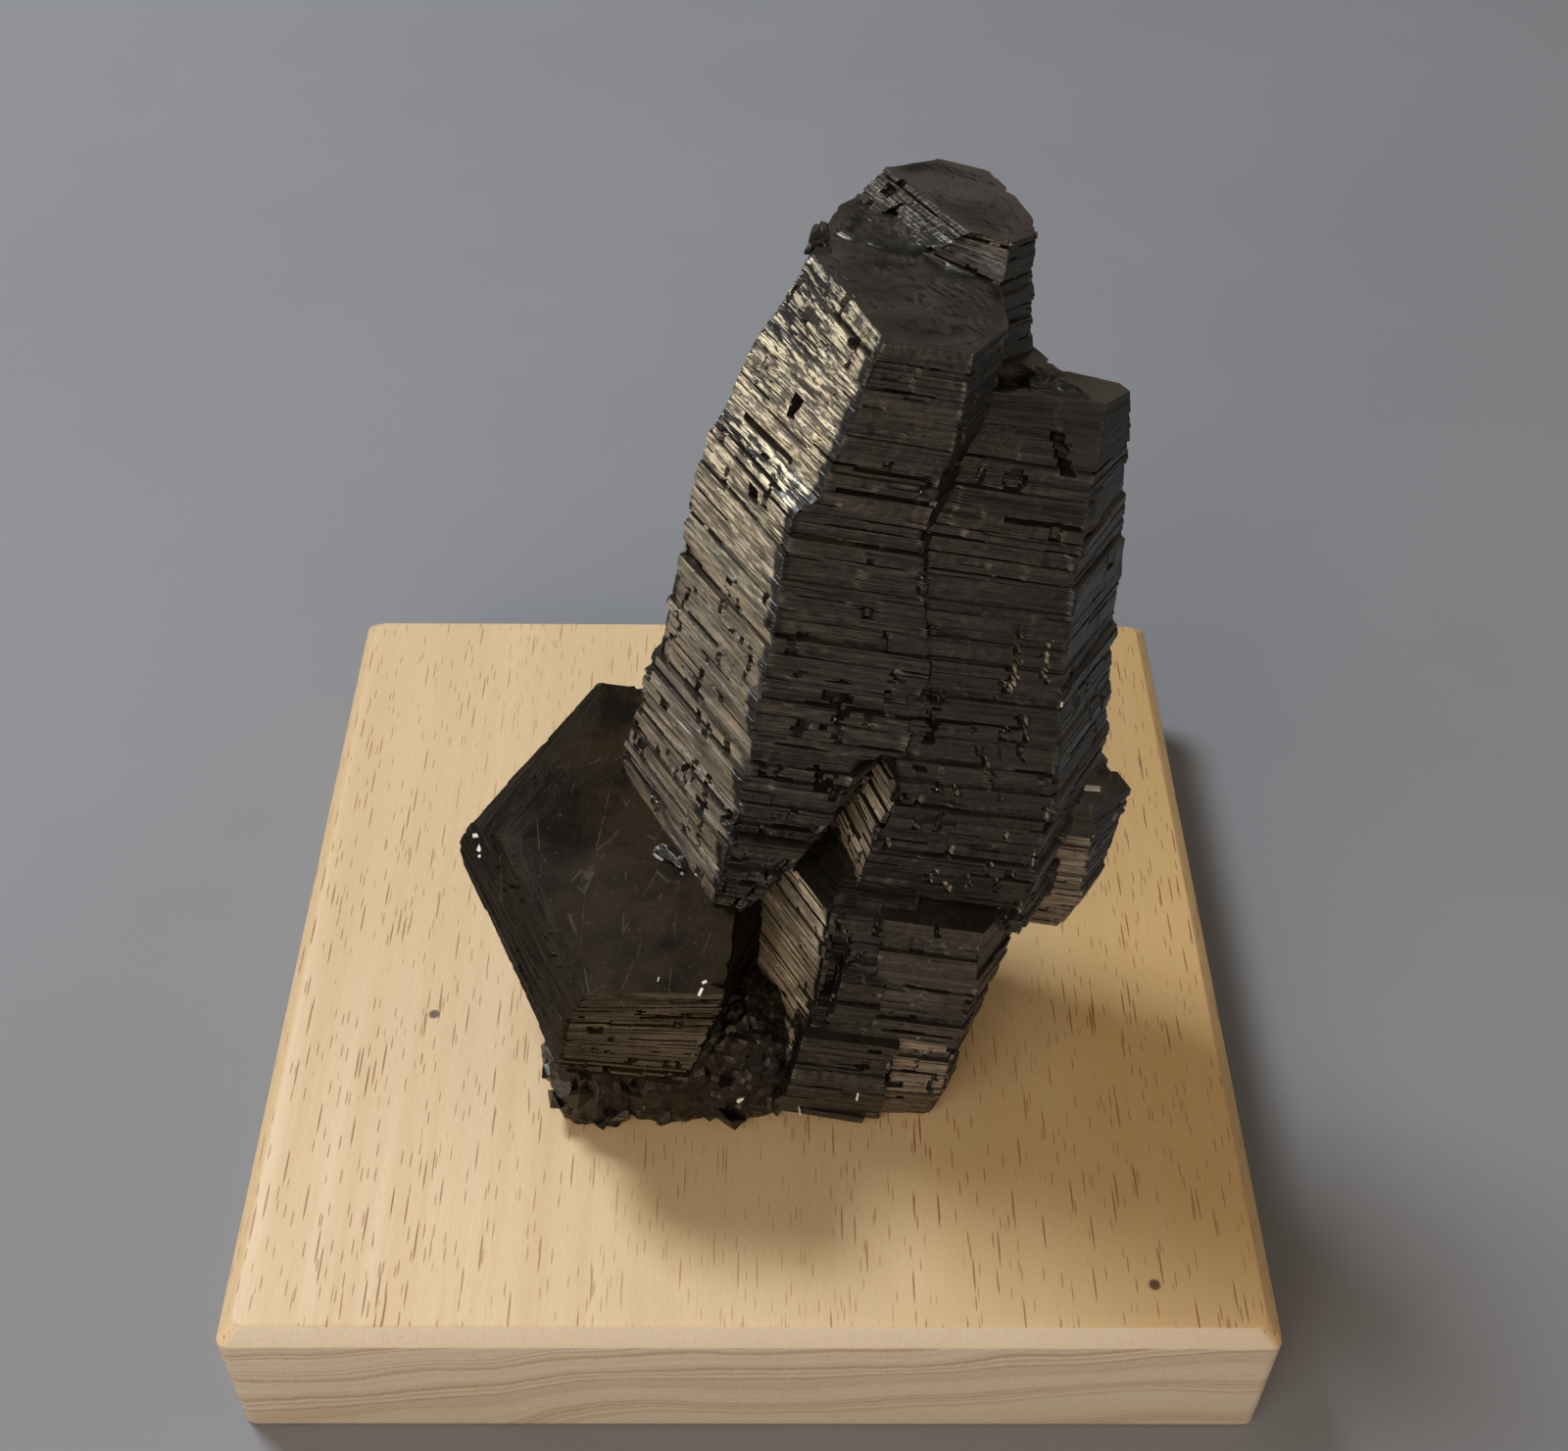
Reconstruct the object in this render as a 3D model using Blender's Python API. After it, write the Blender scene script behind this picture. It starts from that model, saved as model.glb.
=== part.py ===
"""A pyrrhotite crystal group standing on a square hardwood block, at real size in metres, +Z up.

The origin is the middle of the block's underside, the front is -Y. Every crystal is a pile of thin basal
plates: a side outline is given at a few heights along the crystal's axis, and the plates between them
step in and out as real pyrrhotite does. The crystals have grown into each other, so they are joined in one
solid.
"""

import math
import random

import bmesh
import bpy
from mathutils import Matrix, Quaternion, Vector

MM = 0.001

# The block, as a planed board 18 mm thick
BLOCK_WIDTH = 105 * MM
BLOCK_THICKNESS = 18 * MM
BLOCK_TOP_CHAMFER = 1.5 * MM
BLOCK_CORNER_ROUND = 1.2 * MM
REST_GAP = 0.3 * MM

# The tall crystals are parallel: one tilt, as turns about X, Y and Z in degrees, and one common centre
TALL_TILT = (-7.77, 9.45, -1.09)
TALL_CENTRE = (15.0, -21.5, 48.0)
# The tabular crystal low on the left leans the other way
TABULAR_TILT = (3.21, -4.0, -7.16)
TABULAR_CENTRE = (-16.3, -18.2, 46.5)

# Side outlines in millimetres, anticlockwise from the front left corner, each at a height along the axis
MAIN_PRISM = (
    (-6, ((-18.9, -0.4), (-17.6, -0.9), (-12, 8), (-7, 25), (-16, 29.4), (-21.4, 27), (-29.2, 17.5))),
    (-1, ((-18.6, -0.9), (-13.7, -1), (-9, 8), (-4.6, 27.4), (-15.6, 29.8), (-21.6, 27), (-29, 16.8))),
    (9.5, ((-17.9, -1), (-9.2, -1), (-5, 6.2), (-3.4, 27.8), (-15.4, 29.8), (-21.5, 26.6), (-28, 14.6))),
    (16.8, ((-18.3, -1), (-8, -1), (-3, 6.2), (-2.8, 28), (-15.4, 29.8), (-21, 26.5), (-27.3, 13.6))),
    (17.6, ((-18.3, -1), (-4.2, -1), (-1, 6.2), (-2.8, 28), (-15.4, 29.8), (-21, 26.5), (-27.2, 13.5))),
    (28, ((-18.2, -1), (-4, -1), (-1, 6.2), (-2.6, 28), (-15.2, 29.8), (-20.5, 26), (-26.8, 12.8))),
    (38, ((-18.7, -1), (-6.8, -1), (-3, 6.2), (-2.6, 28), (-15.2, 29.6), (-20, 25.5), (-26.5, 12.4))),
    (41.5, ((-18.7, -1), (-7.5, -1), (-3.4, 6.2), (-2.8, 28), (-15, 29.6), (-19.6, 25), (-25.9, 12.2))),
    (43.5, ((-16.9, -1), (-7.6, -1), (-3.6, 6.2), (-2.8, 28), (-15, 29.4), (-19.3, 25), (-25.2, 12.6))),
    (50, ((-15.9, -1), (-6.8, -1), (-3.6, 5.8), (-3, 27.6), (-14.8, 29.4), (-18.7, 24.6), (-23.6, 12.6))),
    (58.5, ((-14.5, -1), (-7.2, -0.7), (-3.8, 5.8), (-3.4, 26), (-14.6, 29.2), (-17.6, 24.4), (-20, 13.4))),
)
TIP_PRISM = (
    (48, ((-10, 13.5), (-3.6, 11.5), (2.3, 16.6), (1.8, 22), (0.4, 26), (-4, 31), (-10, 31.6), (-15.6, 28))),
    (53, ((-10, 14.5), (-3.6, 12.2), (0.8, 17), (0.8, 21.4), (-1.2, 26), (-4.2, 30), (-10, 31.4), (-15.7, 28))),
    (58.6, ((-10, 17.6), (-3.7, 13), (-0.6, 17), (-0.7, 20), (-2.2, 26), (-4.2, 30), (-9.6, 31), (-15.7, 28))),
    (62, ((-7, 15.2), (-3.5, 14.8), (-1, 17.6), (-1, 20), (-2.5, 25.5), (-4.2, 29.7), (-9, 30.6), (-14, 26.6))),
)
RIGHT_PRISM = (
    (-3, ((-5.2, 0.2), (12.2, 0), (17.2, 9), (14, 21), (6, 23), (-2, 27), (-9, 13))),
    (8, ((-4.4, 0), (11.2, 0), (17.2, 11.4), (13.6, 22), (6, 24), (-2, 27.5), (-9, 13))),
    (14, ((-3.4, 0), (11.1, 0), (18, 13.4), (13.6, 23), (6, 25), (-2, 28), (-9, 13))),
    (21, ((-3.2, 0), (9.7, 0), (16.2, 12), (12.6, 22), (6, 24), (-2, 28), (-9, 13))),
    (30, ((-3.6, 0), (7.9, 0), (14.2, 11.8), (12, 20), (6, 22), (-2, 27.5), (-9, 13))),
    (37, ((-5, 0), (6.9, 0), (13, 11.6), (11, 18), (5.6, 19.6), (-2, 26), (-9, 13))),
    (42, ((-6, 0.4), (6.3, 0.4), (11.6, 11), (10.2, 16), (5, 17.4), (-1, 24), (-9, 13))),
    (46.5, ((-6, 3.6), (6.6, 3.8), (10.6, 10.8), (9.4, 14.4), (4.4, 15.6), (0, 22), (-9, 13))),
    (51.5, ((-5.6, 7.2), (6.8, 8.6), (9.4, 11.8), (8.6, 13), (3.6, 13.6), (0.6, 19), (-9, 13))),
)
ROOT_PRISM = (
    (-34, ((-12, 6), (3, 3), (8, 8), (6, 20), (-8, 24), (-19.5, 20))),
    (-22, ((-11, 6), (5, 2), (9.5, 7), (8, 21), (-7, 26), (-19.5, 20))),
    (-10, ((-11, 6), (7, 2), (12, 8), (10, 22), (-5, 28), (-20, 20))),
    (-0.5, ((-12, 6), (8, 2), (14, 9), (12, 22), (-4, 27), (-21, 19.5))),
)
LOW_LEFT_PRISM = (
    (-30.5, ((-9.5, -2), (1.6, -2.6), (5, 8), (-3, 16), (-19, 18))),
    (-16.5, ((-6.4, -2.7), (2, -2.7), (5, 8), (-3, 16), (-17, 15.6))),
    (-1, ((-7.2, -2.6), (1, -2.6), (5, 8), (-3, 16), (-17, 14.2))),
    (1.5, ((-6.2, 1.8), (1, 1.6), (5, 8), (-3, 16), (-14, 14))),
)
LOW_RIGHT_PRISM = (
    (-16.5, ((-1.2, -3.1), (8.8, -3.1), (10.6, 0.4), (6, 14), (-4, 14))),
    (-8, ((-1.6, -3.1), (8.8, -3.1), (12.4, 3.4), (8, 16), (-4, 14))),
    (-0.4, ((-2.2, -3.1), (7.5, -3.1), (13.4, 5.6), (8, 16), (-4, 14))),
)
CORNER_BLOCK = (
    (-30.5, ((2.4, -1), (8.6, -0.6), (10.6, 3), (6, 10), (1, 8))),
    (-23, ((2.4, -3.3), (8.8, -3), (10.2, 0.4), (6, 10), (1, 8))),
    (-15.4, ((2.4, -3.5), (8.4, -3.5), (10.6, 0.8), (6, 10), (1, 8))),
)
FRONT_BLOCK = (
    (-31, ((-9, -1.8), (3.4, -1.6), (3, 6), (-10, 6))),
    (-25.2, ((-7.2, -3.9), (2.6, -4), (3, 6), (-9, 6))),
    (-16.2, ((-7.2, -4.3), (2.2, -4.3), (3, 6), (-9, 6))),
)
MIDDLE_BLOCK = (
    (-17.5, ((-5.3, -3.4), (-0.6, -3.5), (1, 5), (-6, 5))),
    (-8.6, ((-4.8, -3.5), (0, -3.4), (1, 5), (-6, 5))),
    (-8, ((-4.6, -2), (-0.6, -2.4), (1, 5), (-6, 5))),
    (-1.6, ((-4.2, -1.6), (-1, -2.2), (1, 5), (-6, 5))),
)
SIDE_CRYSTAL = (
    (-8.6, ((11, 8.4), (18.8, 8.4), (21.2, 12.4), (18, 17), (8, 16))),
    (-4, ((11, 8), (19.8, 8.2), (22.6, 13.2), (20, 18.6), (8, 18))),
    (4, ((11, 8), (18.8, 8.2), (22.9, 13.6), (20.6, 19.4), (8, 19))),
    (7, ((12, 9.6), (18.2, 9.8), (22.6, 13.4), (20.2, 19), (8, 19))),
)
# The tabular crystal, in its own axes
TABULAR_CRYSTAL = (
    (-19, ((2, -8), (10, -8.5), (16, 4), (15, 22), (-3, 24), (-10, 8))),
    (-14.5, ((-1, -13), (9.6, -13.6), (16, 4), (15, 25), (-4, 28.5), (-14, 9))),
    (-10.5, ((-1.6, -15.2), (11, -15.6), (16, 4), (15, 27), (-5.5, 31.5), (-16.8, 9.2))),
    (-6, ((-0.6, -14.8), (13, -14.4), (16, 4), (15, 28), (-6, 31), (-16.4, 8.6))),
    (-2.2, ((0.4, -14.2), (14.6, -13.2), (15.6, 4), (14, 27), (-4.6, 28.6), (-14.2, 8.2))),
    (-1.2, ((1, -13.9), (15.1, -12.8), (15.3, 4), (13, 26), (-3.6, 27.6), (-12, 5.6))),
    (0, ((1.6, -13.6), (15.5, -12.4), (15.2, 4), (9, 9), (-2.3, 12.6), (-9.4, 2.4))),
)
# The broken foot under the tabular crystal, straight up from the block: lumps as X, Y, radius, height
FOOT_LUMPS = (
    (-16.6, -24, 4.6, 19),
    (-9, -22, 6.6, 20),
    (-1.5, -22, 6.4, 19),
    (-14.5, -13, 8, 20),
    (-13, -3, 7.4, 19),
)

TALL_GROUP = {
    "tip_prism": TIP_PRISM,
    "right_prism": RIGHT_PRISM,
    "root_prism": ROOT_PRISM,
    "low_left_prism": LOW_LEFT_PRISM,
    "low_right_prism": LOW_RIGHT_PRISM,
    "corner_block": CORNER_BLOCK,
    "front_block": FRONT_BLOCK,
    "middle_block": MIDDLE_BLOCK,
    "side_crystal": SIDE_CRYSTAL,
}

# Open breaks in the tall group: two heights along the axis, then the four side corners
OPEN_BREAKS = {
    "crack_between_prisms": ((15, 29.5), ((-4.4, -4), (-3, -4), (-3.3, 3.2), (-4.2, 3.2))),
    "pit_by_middle_block": ((-13, -4), ((-6.6, -6), (-4.7, -6), (-4.7, -0.4), (-5.9, -0.4))),
    "pit_near_right_top": ((47.5, 56), ((2, 3), (4.4, 2), (4.6, 10.4), (2.6, 9.6))),
}

# Plates: how thick on average, how much one differs from the next as a share, how far a rim steps, how much
# each point wavers and a ledge slopes, how often a point is chipped, and the run of a side between two points
PLATE = 2.1
THIN_PLATE = 1.3
PLATE_SPREAD = 0.3
PLATE_STEP = 0.42
RIM_WAVER = 0.12
LEDGE_RISE = 0.3
CHIP_CHANCE = 0.22
SIDE_SPLIT = 5.5

# Foot lumps: sides, how much narrower the top is, how rough they are, and how deep they start in the block
LUMP_SIDES = 9
LUMP_TAPER = 0.72
LUMP_ROUGHNESS = 0.07
LUMP_SUNK = 2


def clear_scene():
    for obj in list(bpy.data.objects):
        bpy.data.objects.remove(obj, do_unlink=True)


def tilt_matrix(tilt, centre):
    """The placing of a crystal whose axis is turned by the three angles together, centre in millimetres."""
    turn = Quaternion(Vector([math.radians(angle) for angle in tilt]))
    return Matrix.Translation(Vector(centre) * MM) @ turn.to_matrix().to_4x4()


def make_material(name, colour, roughness, metallic):
    material = bpy.data.materials.new(name)
    material.use_nodes = True
    shader = material.node_tree.nodes["Principled BSDF"]
    shader.inputs["Base Color"].default_value = (*colour, 1.0)
    shader.inputs["Roughness"].default_value = roughness
    shader.inputs["Metallic"].default_value = metallic
    return material


def object_from(bm, name, material=None):
    mesh = bpy.data.meshes.new(name)
    bmesh.ops.recalc_face_normals(bm, faces=bm.faces)
    bm.to_mesh(mesh)
    bm.free()
    obj = bpy.data.objects.new(name, mesh)
    bpy.context.scene.collection.objects.link(obj)
    if material:
        mesh.materials.append(material)
    return obj


def outline_at(levels, height):
    """The corners between the two given outlines that the height lies between."""
    for (low, under), (high, over) in zip(levels, levels[1:]):
        if height <= high:
            share = (height - low) / (high - low)
            return [Vector(a).lerp(Vector(b), share) for a, b in zip(under, over)]
    return [Vector(corner) for corner in levels[-1][1]]


def split_sides(corners, counts):
    """Points round the outline with each side cut into its count of pieces, and the way out at each."""
    points = []
    for index, corner in enumerate(corners):
        following = corners[(index + 1) % len(corners)]
        before = corners[index - 1]
        along = (following - corner).normalized()
        arriving = (corner - before).normalized()
        outward = Vector((along.y, -along.x))
        corner_outward = (outward + Vector((arriving.y, -arriving.x))).normalized()
        for step in range(counts[index]):
            out = corner_outward if step == 0 else outward
            points.append((corner.lerp(following, step / counts[index]), out))
    return points


def plate_outline(levels, height, counts, rng):
    """One plate's outline: the crystal's own, moved in or out by a little at each point."""
    shift = rng.uniform(-PLATE_STEP, PLATE_STEP)
    points = []
    for place, outward in split_sides(outline_at(levels, height), counts):
        chip = rng.uniform(0.5, 1.0) * PLATE_STEP if rng.random() < CHIP_CHANCE else 0.0
        points.append(place + outward * (shift - chip + rng.uniform(-RIM_WAVER, RIM_WAVER)))
    return points


def side_counts(corners):
    """How many pieces each side of an outline is cut into."""
    ahead = [*corners[1:], corners[0]]
    return [max(1, round(math.dist(a, b) / SIDE_SPLIT)) for a, b in zip(corners, ahead)]


def plate_heights(levels, plate, rng):
    """Where each plate ends, from the crystal's lowest outline to its highest."""
    low, high = levels[0][0], levels[-1][0]
    count = max(2, round((high - low) / plate))
    pitch = (high - low) / count
    between = [low + pitch * (k + rng.uniform(-PLATE_SPREAD, PLATE_SPREAD)) for k in range(1, count)]
    return [low, *between, high]


def raised_rim(bm, rim):
    """Walls pulled off a rim of corners in order, and the new rim in the same order and place."""
    edges = [bm.edges.get((here, ahead)) for here, ahead in zip(rim, [*rim[1:], rim[0]])]
    made = bmesh.ops.extrude_edge_only(bm, edges=edges)["geom"]
    rank = {vert: index for index, vert in enumerate(rim)}
    followers = list(rim)
    for vert in (item for item in made if isinstance(item, bmesh.types.BMVert)):
        for edge in vert.link_edges:
            old = edge.other_vert(vert)
            if old in rank:
                followers[rank[old]] = vert
    return followers


def crystal(name, levels, placing, seed, plate=PLATE):
    """A pile of plates: each plate's wall is pulled up, then its rim steps in or out to the next plate."""
    rng = random.Random(seed)
    counts = side_counts(levels[0][1])
    heights = plate_heights(levels, plate, rng)
    bm = bmesh.new()
    lowest = plate_outline(levels, heights[0], counts, rng)
    rim = [bm.verts.new((point.x, point.y, heights[0])) for point in lowest]
    bm.faces.new(rim)
    for number, (low, high) in enumerate(zip(heights, heights[1:])):
        if number > 0:
            rim = raised_rim(bm, rim)
            taken_at = low if high < heights[-1] else high
            for vert, point in zip(rim, plate_outline(levels, taken_at, counts, rng)):
                vert.co = (point.x, point.y, low + LEDGE_RISE)
        rim = raised_rim(bm, rim)
        for vert in rim:
            vert.co.z = high
    bm.faces.new(rim)
    bmesh.ops.transform(bm, matrix=placing @ Matrix.Scale(MM, 4), verts=bm.verts)
    return helper(object_from(bm, name))


def helper(obj):
    obj.hide_render = True
    obj.display_type = "WIRE"
    return obj


def wedge(name, span, corners, placing):
    """A four-sided cutter between two heights along the crystal axis."""
    bm = bmesh.new()
    face = bm.faces.new([bm.verts.new((x, y, span[0])) for x, y in corners])
    top = bmesh.ops.extrude_face_region(bm, geom=[face])["geom"]
    raised = [item for item in top if isinstance(item, bmesh.types.BMVert)]
    bmesh.ops.translate(bm, verts=raised, vec=(0, 0, span[1] - span[0]))
    bmesh.ops.transform(bm, matrix=placing @ Matrix.Scale(MM, 4), verts=bm.verts)
    return helper(object_from(bm, name))


def foot_lump(name, lump, seed):
    """A rough broken lump that narrows upwards, its foot inside the block until it is cut flat."""
    x, y, radius, height = lump
    rng = random.Random(seed)
    bm = bmesh.new()
    bmesh.ops.create_cone(
        bm, cap_ends=True, segments=LUMP_SIDES, radius1=radius, radius2=radius * LUMP_TAPER, depth=height
    )
    walls = [edge for edge in bm.edges if abs(edge.verts[0].co.z - edge.verts[1].co.z) > height / 2]
    bmesh.ops.subdivide_edges(bm, edges=walls, cuts=2)
    for vert in bm.verts:
        vert.co *= 1 + rng.uniform(-LUMP_ROUGHNESS, LUMP_ROUGHNESS)
    bmesh.ops.triangulate(bm, faces=bm.faces)
    bottom = BLOCK_THICKNESS / MM - LUMP_SUNK
    placing = Matrix.Translation(Vector((x, y, bottom + height / 2)) * MM)
    bmesh.ops.transform(bm, matrix=placing @ Matrix.Scale(MM, 4), verts=bm.verts)
    return helper(object_from(bm, name))


def below_block_top():
    """Everything lower than the specimen's flat underside."""
    bm = bmesh.new()
    bmesh.ops.create_cube(bm, size=2 * BLOCK_WIDTH)
    bmesh.ops.translate(bm, verts=bm.verts, vec=(0, 0, BLOCK_THICKNESS + REST_GAP - BLOCK_WIDTH))
    return helper(object_from(bm, "cut_below_block_top"))


def boolean(target, tool, operation):
    modifier = target.modifiers.new(tool.name, "BOOLEAN")
    modifier.operation = operation
    modifier.solver = "EXACT"
    modifier.object = tool


def build_cluster(material):
    tall = tilt_matrix(TALL_TILT, TALL_CENTRE)
    tabular = tilt_matrix(TABULAR_TILT, TABULAR_CENTRE)
    cluster = crystal("pyrrhotite_cluster", MAIN_PRISM, tall, 11)
    cluster.hide_render = False
    cluster.display_type = "TEXTURED"
    cluster.data.materials.append(material)
    grown_on = [
        crystal(name, levels, tall, seed)
        for seed, (name, levels) in enumerate(TALL_GROUP.items(), start=21)
    ]
    grown_on.append(crystal("tabular_crystal", TABULAR_CRYSTAL, tabular, 12, THIN_PLATE))
    grown_on += [foot_lump(f"foot_lump_{k}", lump, 40 + k) for k, lump in enumerate(FOOT_LUMPS)]
    for piece in grown_on:
        boolean(cluster, piece, "UNION")
    for name, (span, corners) in OPEN_BREAKS.items():
        boolean(cluster, wedge(name, span, corners, tall), "DIFFERENCE")
    boolean(cluster, below_block_top(), "DIFFERENCE")
    return cluster


def build_block(material):
    """The sawn block: a narrow chamfer along the top edges, then the corners a little rounded."""
    bm = bmesh.new()
    bmesh.ops.create_cube(bm, size=1.0)
    bmesh.ops.scale(bm, vec=(BLOCK_WIDTH, BLOCK_WIDTH, BLOCK_THICKNESS), verts=bm.verts)
    bmesh.ops.translate(bm, vec=(0, 0, BLOCK_THICKNESS / 2), verts=bm.verts)
    top = [e for e in bm.edges if all(v.co.z > BLOCK_THICKNESS / 2 for v in e.verts)]
    bmesh.ops.bevel(
        bm, geom=top, offset=BLOCK_TOP_CHAMFER, segments=1, profile=0.5, affect="EDGES", material=-1
    )
    corners = [e for e in bm.edges if abs(e.verts[0].co.z - e.verts[1].co.z) > BLOCK_TOP_CHAMFER / 2]
    bmesh.ops.bevel(
        bm, geom=corners, offset=BLOCK_CORNER_ROUND, segments=3, profile=0.5, affect="EDGES", material=-1
    )
    return object_from(bm, "wood_block", material)


def main():
    clear_scene()
    pyrrhotite = make_material("pyrrhotite", (0.060, 0.052, 0.044), 0.42, 0.85)
    pale_wood = make_material("pale_wood", (0.72, 0.53, 0.32), 0.55, 0.0)
    build_block(pale_wood)
    build_cluster(pyrrhotite)


main()
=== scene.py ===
"""The looks of a pyrrhotite crystal group on its hardwood block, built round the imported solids.

Every crystal is a pile of thin basal plates, as the real mineral is. Its outlines are given at a few heights,
and between them the plates step in and out, break into bricks and open in grooves and pits. Lengths are in
millimetres unless a name says metres, +Z is up and the front of the block is -Y.
"""

import logging
import math
from dataclasses import dataclass, field
from enum import Enum
from typing import Iterable, Sequence, Union

import bmesh
import bpy
import numpy as np
from mathutils import Matrix, Quaternion, Vector, noise
from mathutils.bvhtree import BVHTree


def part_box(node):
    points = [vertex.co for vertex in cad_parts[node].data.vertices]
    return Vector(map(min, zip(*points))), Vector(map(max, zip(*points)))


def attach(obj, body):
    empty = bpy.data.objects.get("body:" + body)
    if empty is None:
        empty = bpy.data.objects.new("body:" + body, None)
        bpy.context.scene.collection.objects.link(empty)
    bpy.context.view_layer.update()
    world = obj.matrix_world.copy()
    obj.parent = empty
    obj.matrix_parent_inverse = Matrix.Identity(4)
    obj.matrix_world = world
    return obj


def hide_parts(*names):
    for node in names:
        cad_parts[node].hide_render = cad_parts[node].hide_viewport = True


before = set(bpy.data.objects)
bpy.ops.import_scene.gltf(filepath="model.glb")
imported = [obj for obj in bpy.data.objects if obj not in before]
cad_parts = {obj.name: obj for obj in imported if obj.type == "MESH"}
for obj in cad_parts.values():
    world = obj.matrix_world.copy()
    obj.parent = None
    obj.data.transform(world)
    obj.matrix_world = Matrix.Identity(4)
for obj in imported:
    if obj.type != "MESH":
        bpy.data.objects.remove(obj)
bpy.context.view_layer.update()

LOG = logging.getLogger("pyrrhotite")
MM = 0.001

Array = np.ndarray
Pair = tuple[float, float]
Levels = tuple[tuple[float, ...], ...]
Triple = tuple[float, float, float]
Socket = bpy.types.NodeSocket
Value = Union[float, Sequence[float], Socket]


class Node(Enum):
    """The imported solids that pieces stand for."""

    CLUSTER = "pyrrhotite_cluster"
    BLOCK = "wood_block"


class Slot(Enum):
    """The record's material slots."""

    PYRRHOTITE = "pyrrhotite"
    PALE_WOOD = "pale_wood"


# The tall crystals are parallel: one tilt, as turns about X, Y and Z in degrees, and one common centre
TALL_TILT = (-7.77, 9.45, -1.09)
TALL_CENTRE = (15.0, -21.5, 48.0)
# The tabular crystal low on the left leans the other way
TABULAR_TILT = (3.21, -4.0, -7.16)
TABULAR_CENTRE = (-16.3, -18.2, 46.5)

# Each row is a height along the crystal's axis, then the outline's corners there as x, y, x, y and so on,
# anticlockwise from the front left
MAIN_PRISM: Levels = (
    (-6, -18.9, -0.4, -17.6, -0.9, -12, 8, -7, 25, -16, 29.4, -21.4, 27, -29.2, 17.5),
    (-1, -18.6, -0.9, -13.7, -1, -9, 8, -4.6, 27.4, -15.6, 29.8, -21.6, 27, -29, 16.8),
    (9.5, -17.9, -1, -9.2, -1, -5, 6.2, -3.4, 27.8, -15.4, 29.8, -21.5, 26.6, -28, 14.6),
    (16.8, -18.3, -1, -8, -1, -3, 6.2, -2.8, 28, -15.4, 29.8, -21, 26.5, -27.3, 13.6),
    (17.6, -18.3, -1, -4.2, -1, -1, 6.2, -2.8, 28, -15.4, 29.8, -21, 26.5, -27.2, 13.5),
    (28, -18.2, -1, -4, -1, -1, 6.2, -2.6, 28, -15.2, 29.8, -20.5, 26, -26.8, 12.8),
    (38, -18.7, -1, -6.8, -1, -3, 6.2, -2.6, 28, -15.2, 29.6, -20, 25.5, -26.5, 12.4),
    (41.5, -18.7, -1, -7.5, -1, -3.4, 6.2, -2.8, 28, -15, 29.6, -19.6, 25, -25.9, 12.2),
    (43.5, -16.9, -1, -7.6, -1, -3.6, 6.2, -2.8, 28, -15, 29.4, -19.3, 25, -25.2, 12.6),
    (50, -15.9, -1, -6.8, -1, -3.6, 5.8, -3, 27.6, -14.8, 29.4, -18.7, 24.6, -23.6, 12.6),
    (58.5, -14.5, -1, -7.2, -0.7, -3.8, 5.8, -3.4, 26, -14.6, 29.2, -17.6, 24.4, -20, 13.4),
)
TIP_PRISM: Levels = (
    (48, -10, 13.5, -3.6, 11.5, 2.3, 16.6, 1.8, 22, 0.4, 26, -4, 31, -10, 31.6, -15.6, 28),
    (53, -10, 14.5, -3.6, 12.2, 0.8, 17, 0.8, 21.4, -1.2, 26, -4.2, 30, -10, 31.4, -15.7, 28),
    (58.6, -10, 17.6, -3.7, 13, -0.6, 17, -0.7, 20, -2.2, 26, -4.2, 30, -9.6, 31, -15.7, 28),
    (62, -7, 15.2, -3.5, 14.8, -1, 17.6, -1, 20, -2.5, 25.5, -4.2, 29.7, -9, 30.6, -14, 26.6),
)
RIGHT_PRISM: Levels = (
    (-3, -5.2, 0.2, 12.2, 0, 17.2, 9, 14, 21, 6, 23, -2, 27, -9, 13),
    (8, -4.4, -0.4, 11.2, 0, 17.2, 11.4, 13.6, 22, 6, 24, -2, 27.5, -9, 13),
    (14, -3.4, -0.7, 11.1, 0, 18, 13.4, 13.6, 23, 6, 25, -2, 28, -9, 13),
    (21, -6.5, -0.85, 9.7, 0, 16.2, 12, 12.6, 22, 6, 24, -2, 28, -9, 13),
    (30, -8, -0.85, 7.9, 0, 14.2, 11.8, 12, 20, 6, 22, -2, 27.5, -9, 13),
    (37, -9.4, -0.5, 6.9, 0, 13, 11.6, 11, 18, 5.6, 19.6, -2, 26, -9, 13),
    (42, -9.8, 0.4, 6.3, 0.4, 11.6, 11, 10.2, 16, 5, 17.4, -1, 24, -9, 13),
    (46.5, -8, 3.6, 6.6, 3.8, 10.6, 10.8, 9.4, 14.4, 4.4, 15.6, 0, 22, -9, 13),
    (51.5, -5.6, 7.2, 6.8, 8.6, 9.4, 11.8, 8.6, 13, 3.6, 13.6, 0.6, 19, -9, 13),
)
ROOT_PRISM: Levels = (
    (-29, -12, 6, 3, 3, 8, 8, 6, 20, -8, 24, -19.5, 20),
    (-22, -11, 6, 5, 2, 9.5, 7, 8, 21, -7, 26, -19.5, 20),
    (-10, -11, 6, 7, 2, 12, 8, 10, 22, -5, 28, -20, 20),
    (-0.5, -12, 6, 8, 2, 14, 9, 12, 22, -4, 27, -21, 19.5),
)
LOW_LEFT_PRISM: Levels = (
    (-30, -9.5, -2, 1.6, -2.6, 5, 8, -3, 16, -19, 18),
    (-16.5, -6.4, -2.7, 2, -2.7, 5, 8, -3, 16, -17, 15.6),
    (-1, -7.2, -2.6, 1, -2.6, 5, 8, -3, 16, -17, 14.2),
    (1.5, -6.2, 1.8, 1, 1.6, 5, 8, -3, 16, -14, 14),
)
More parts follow.
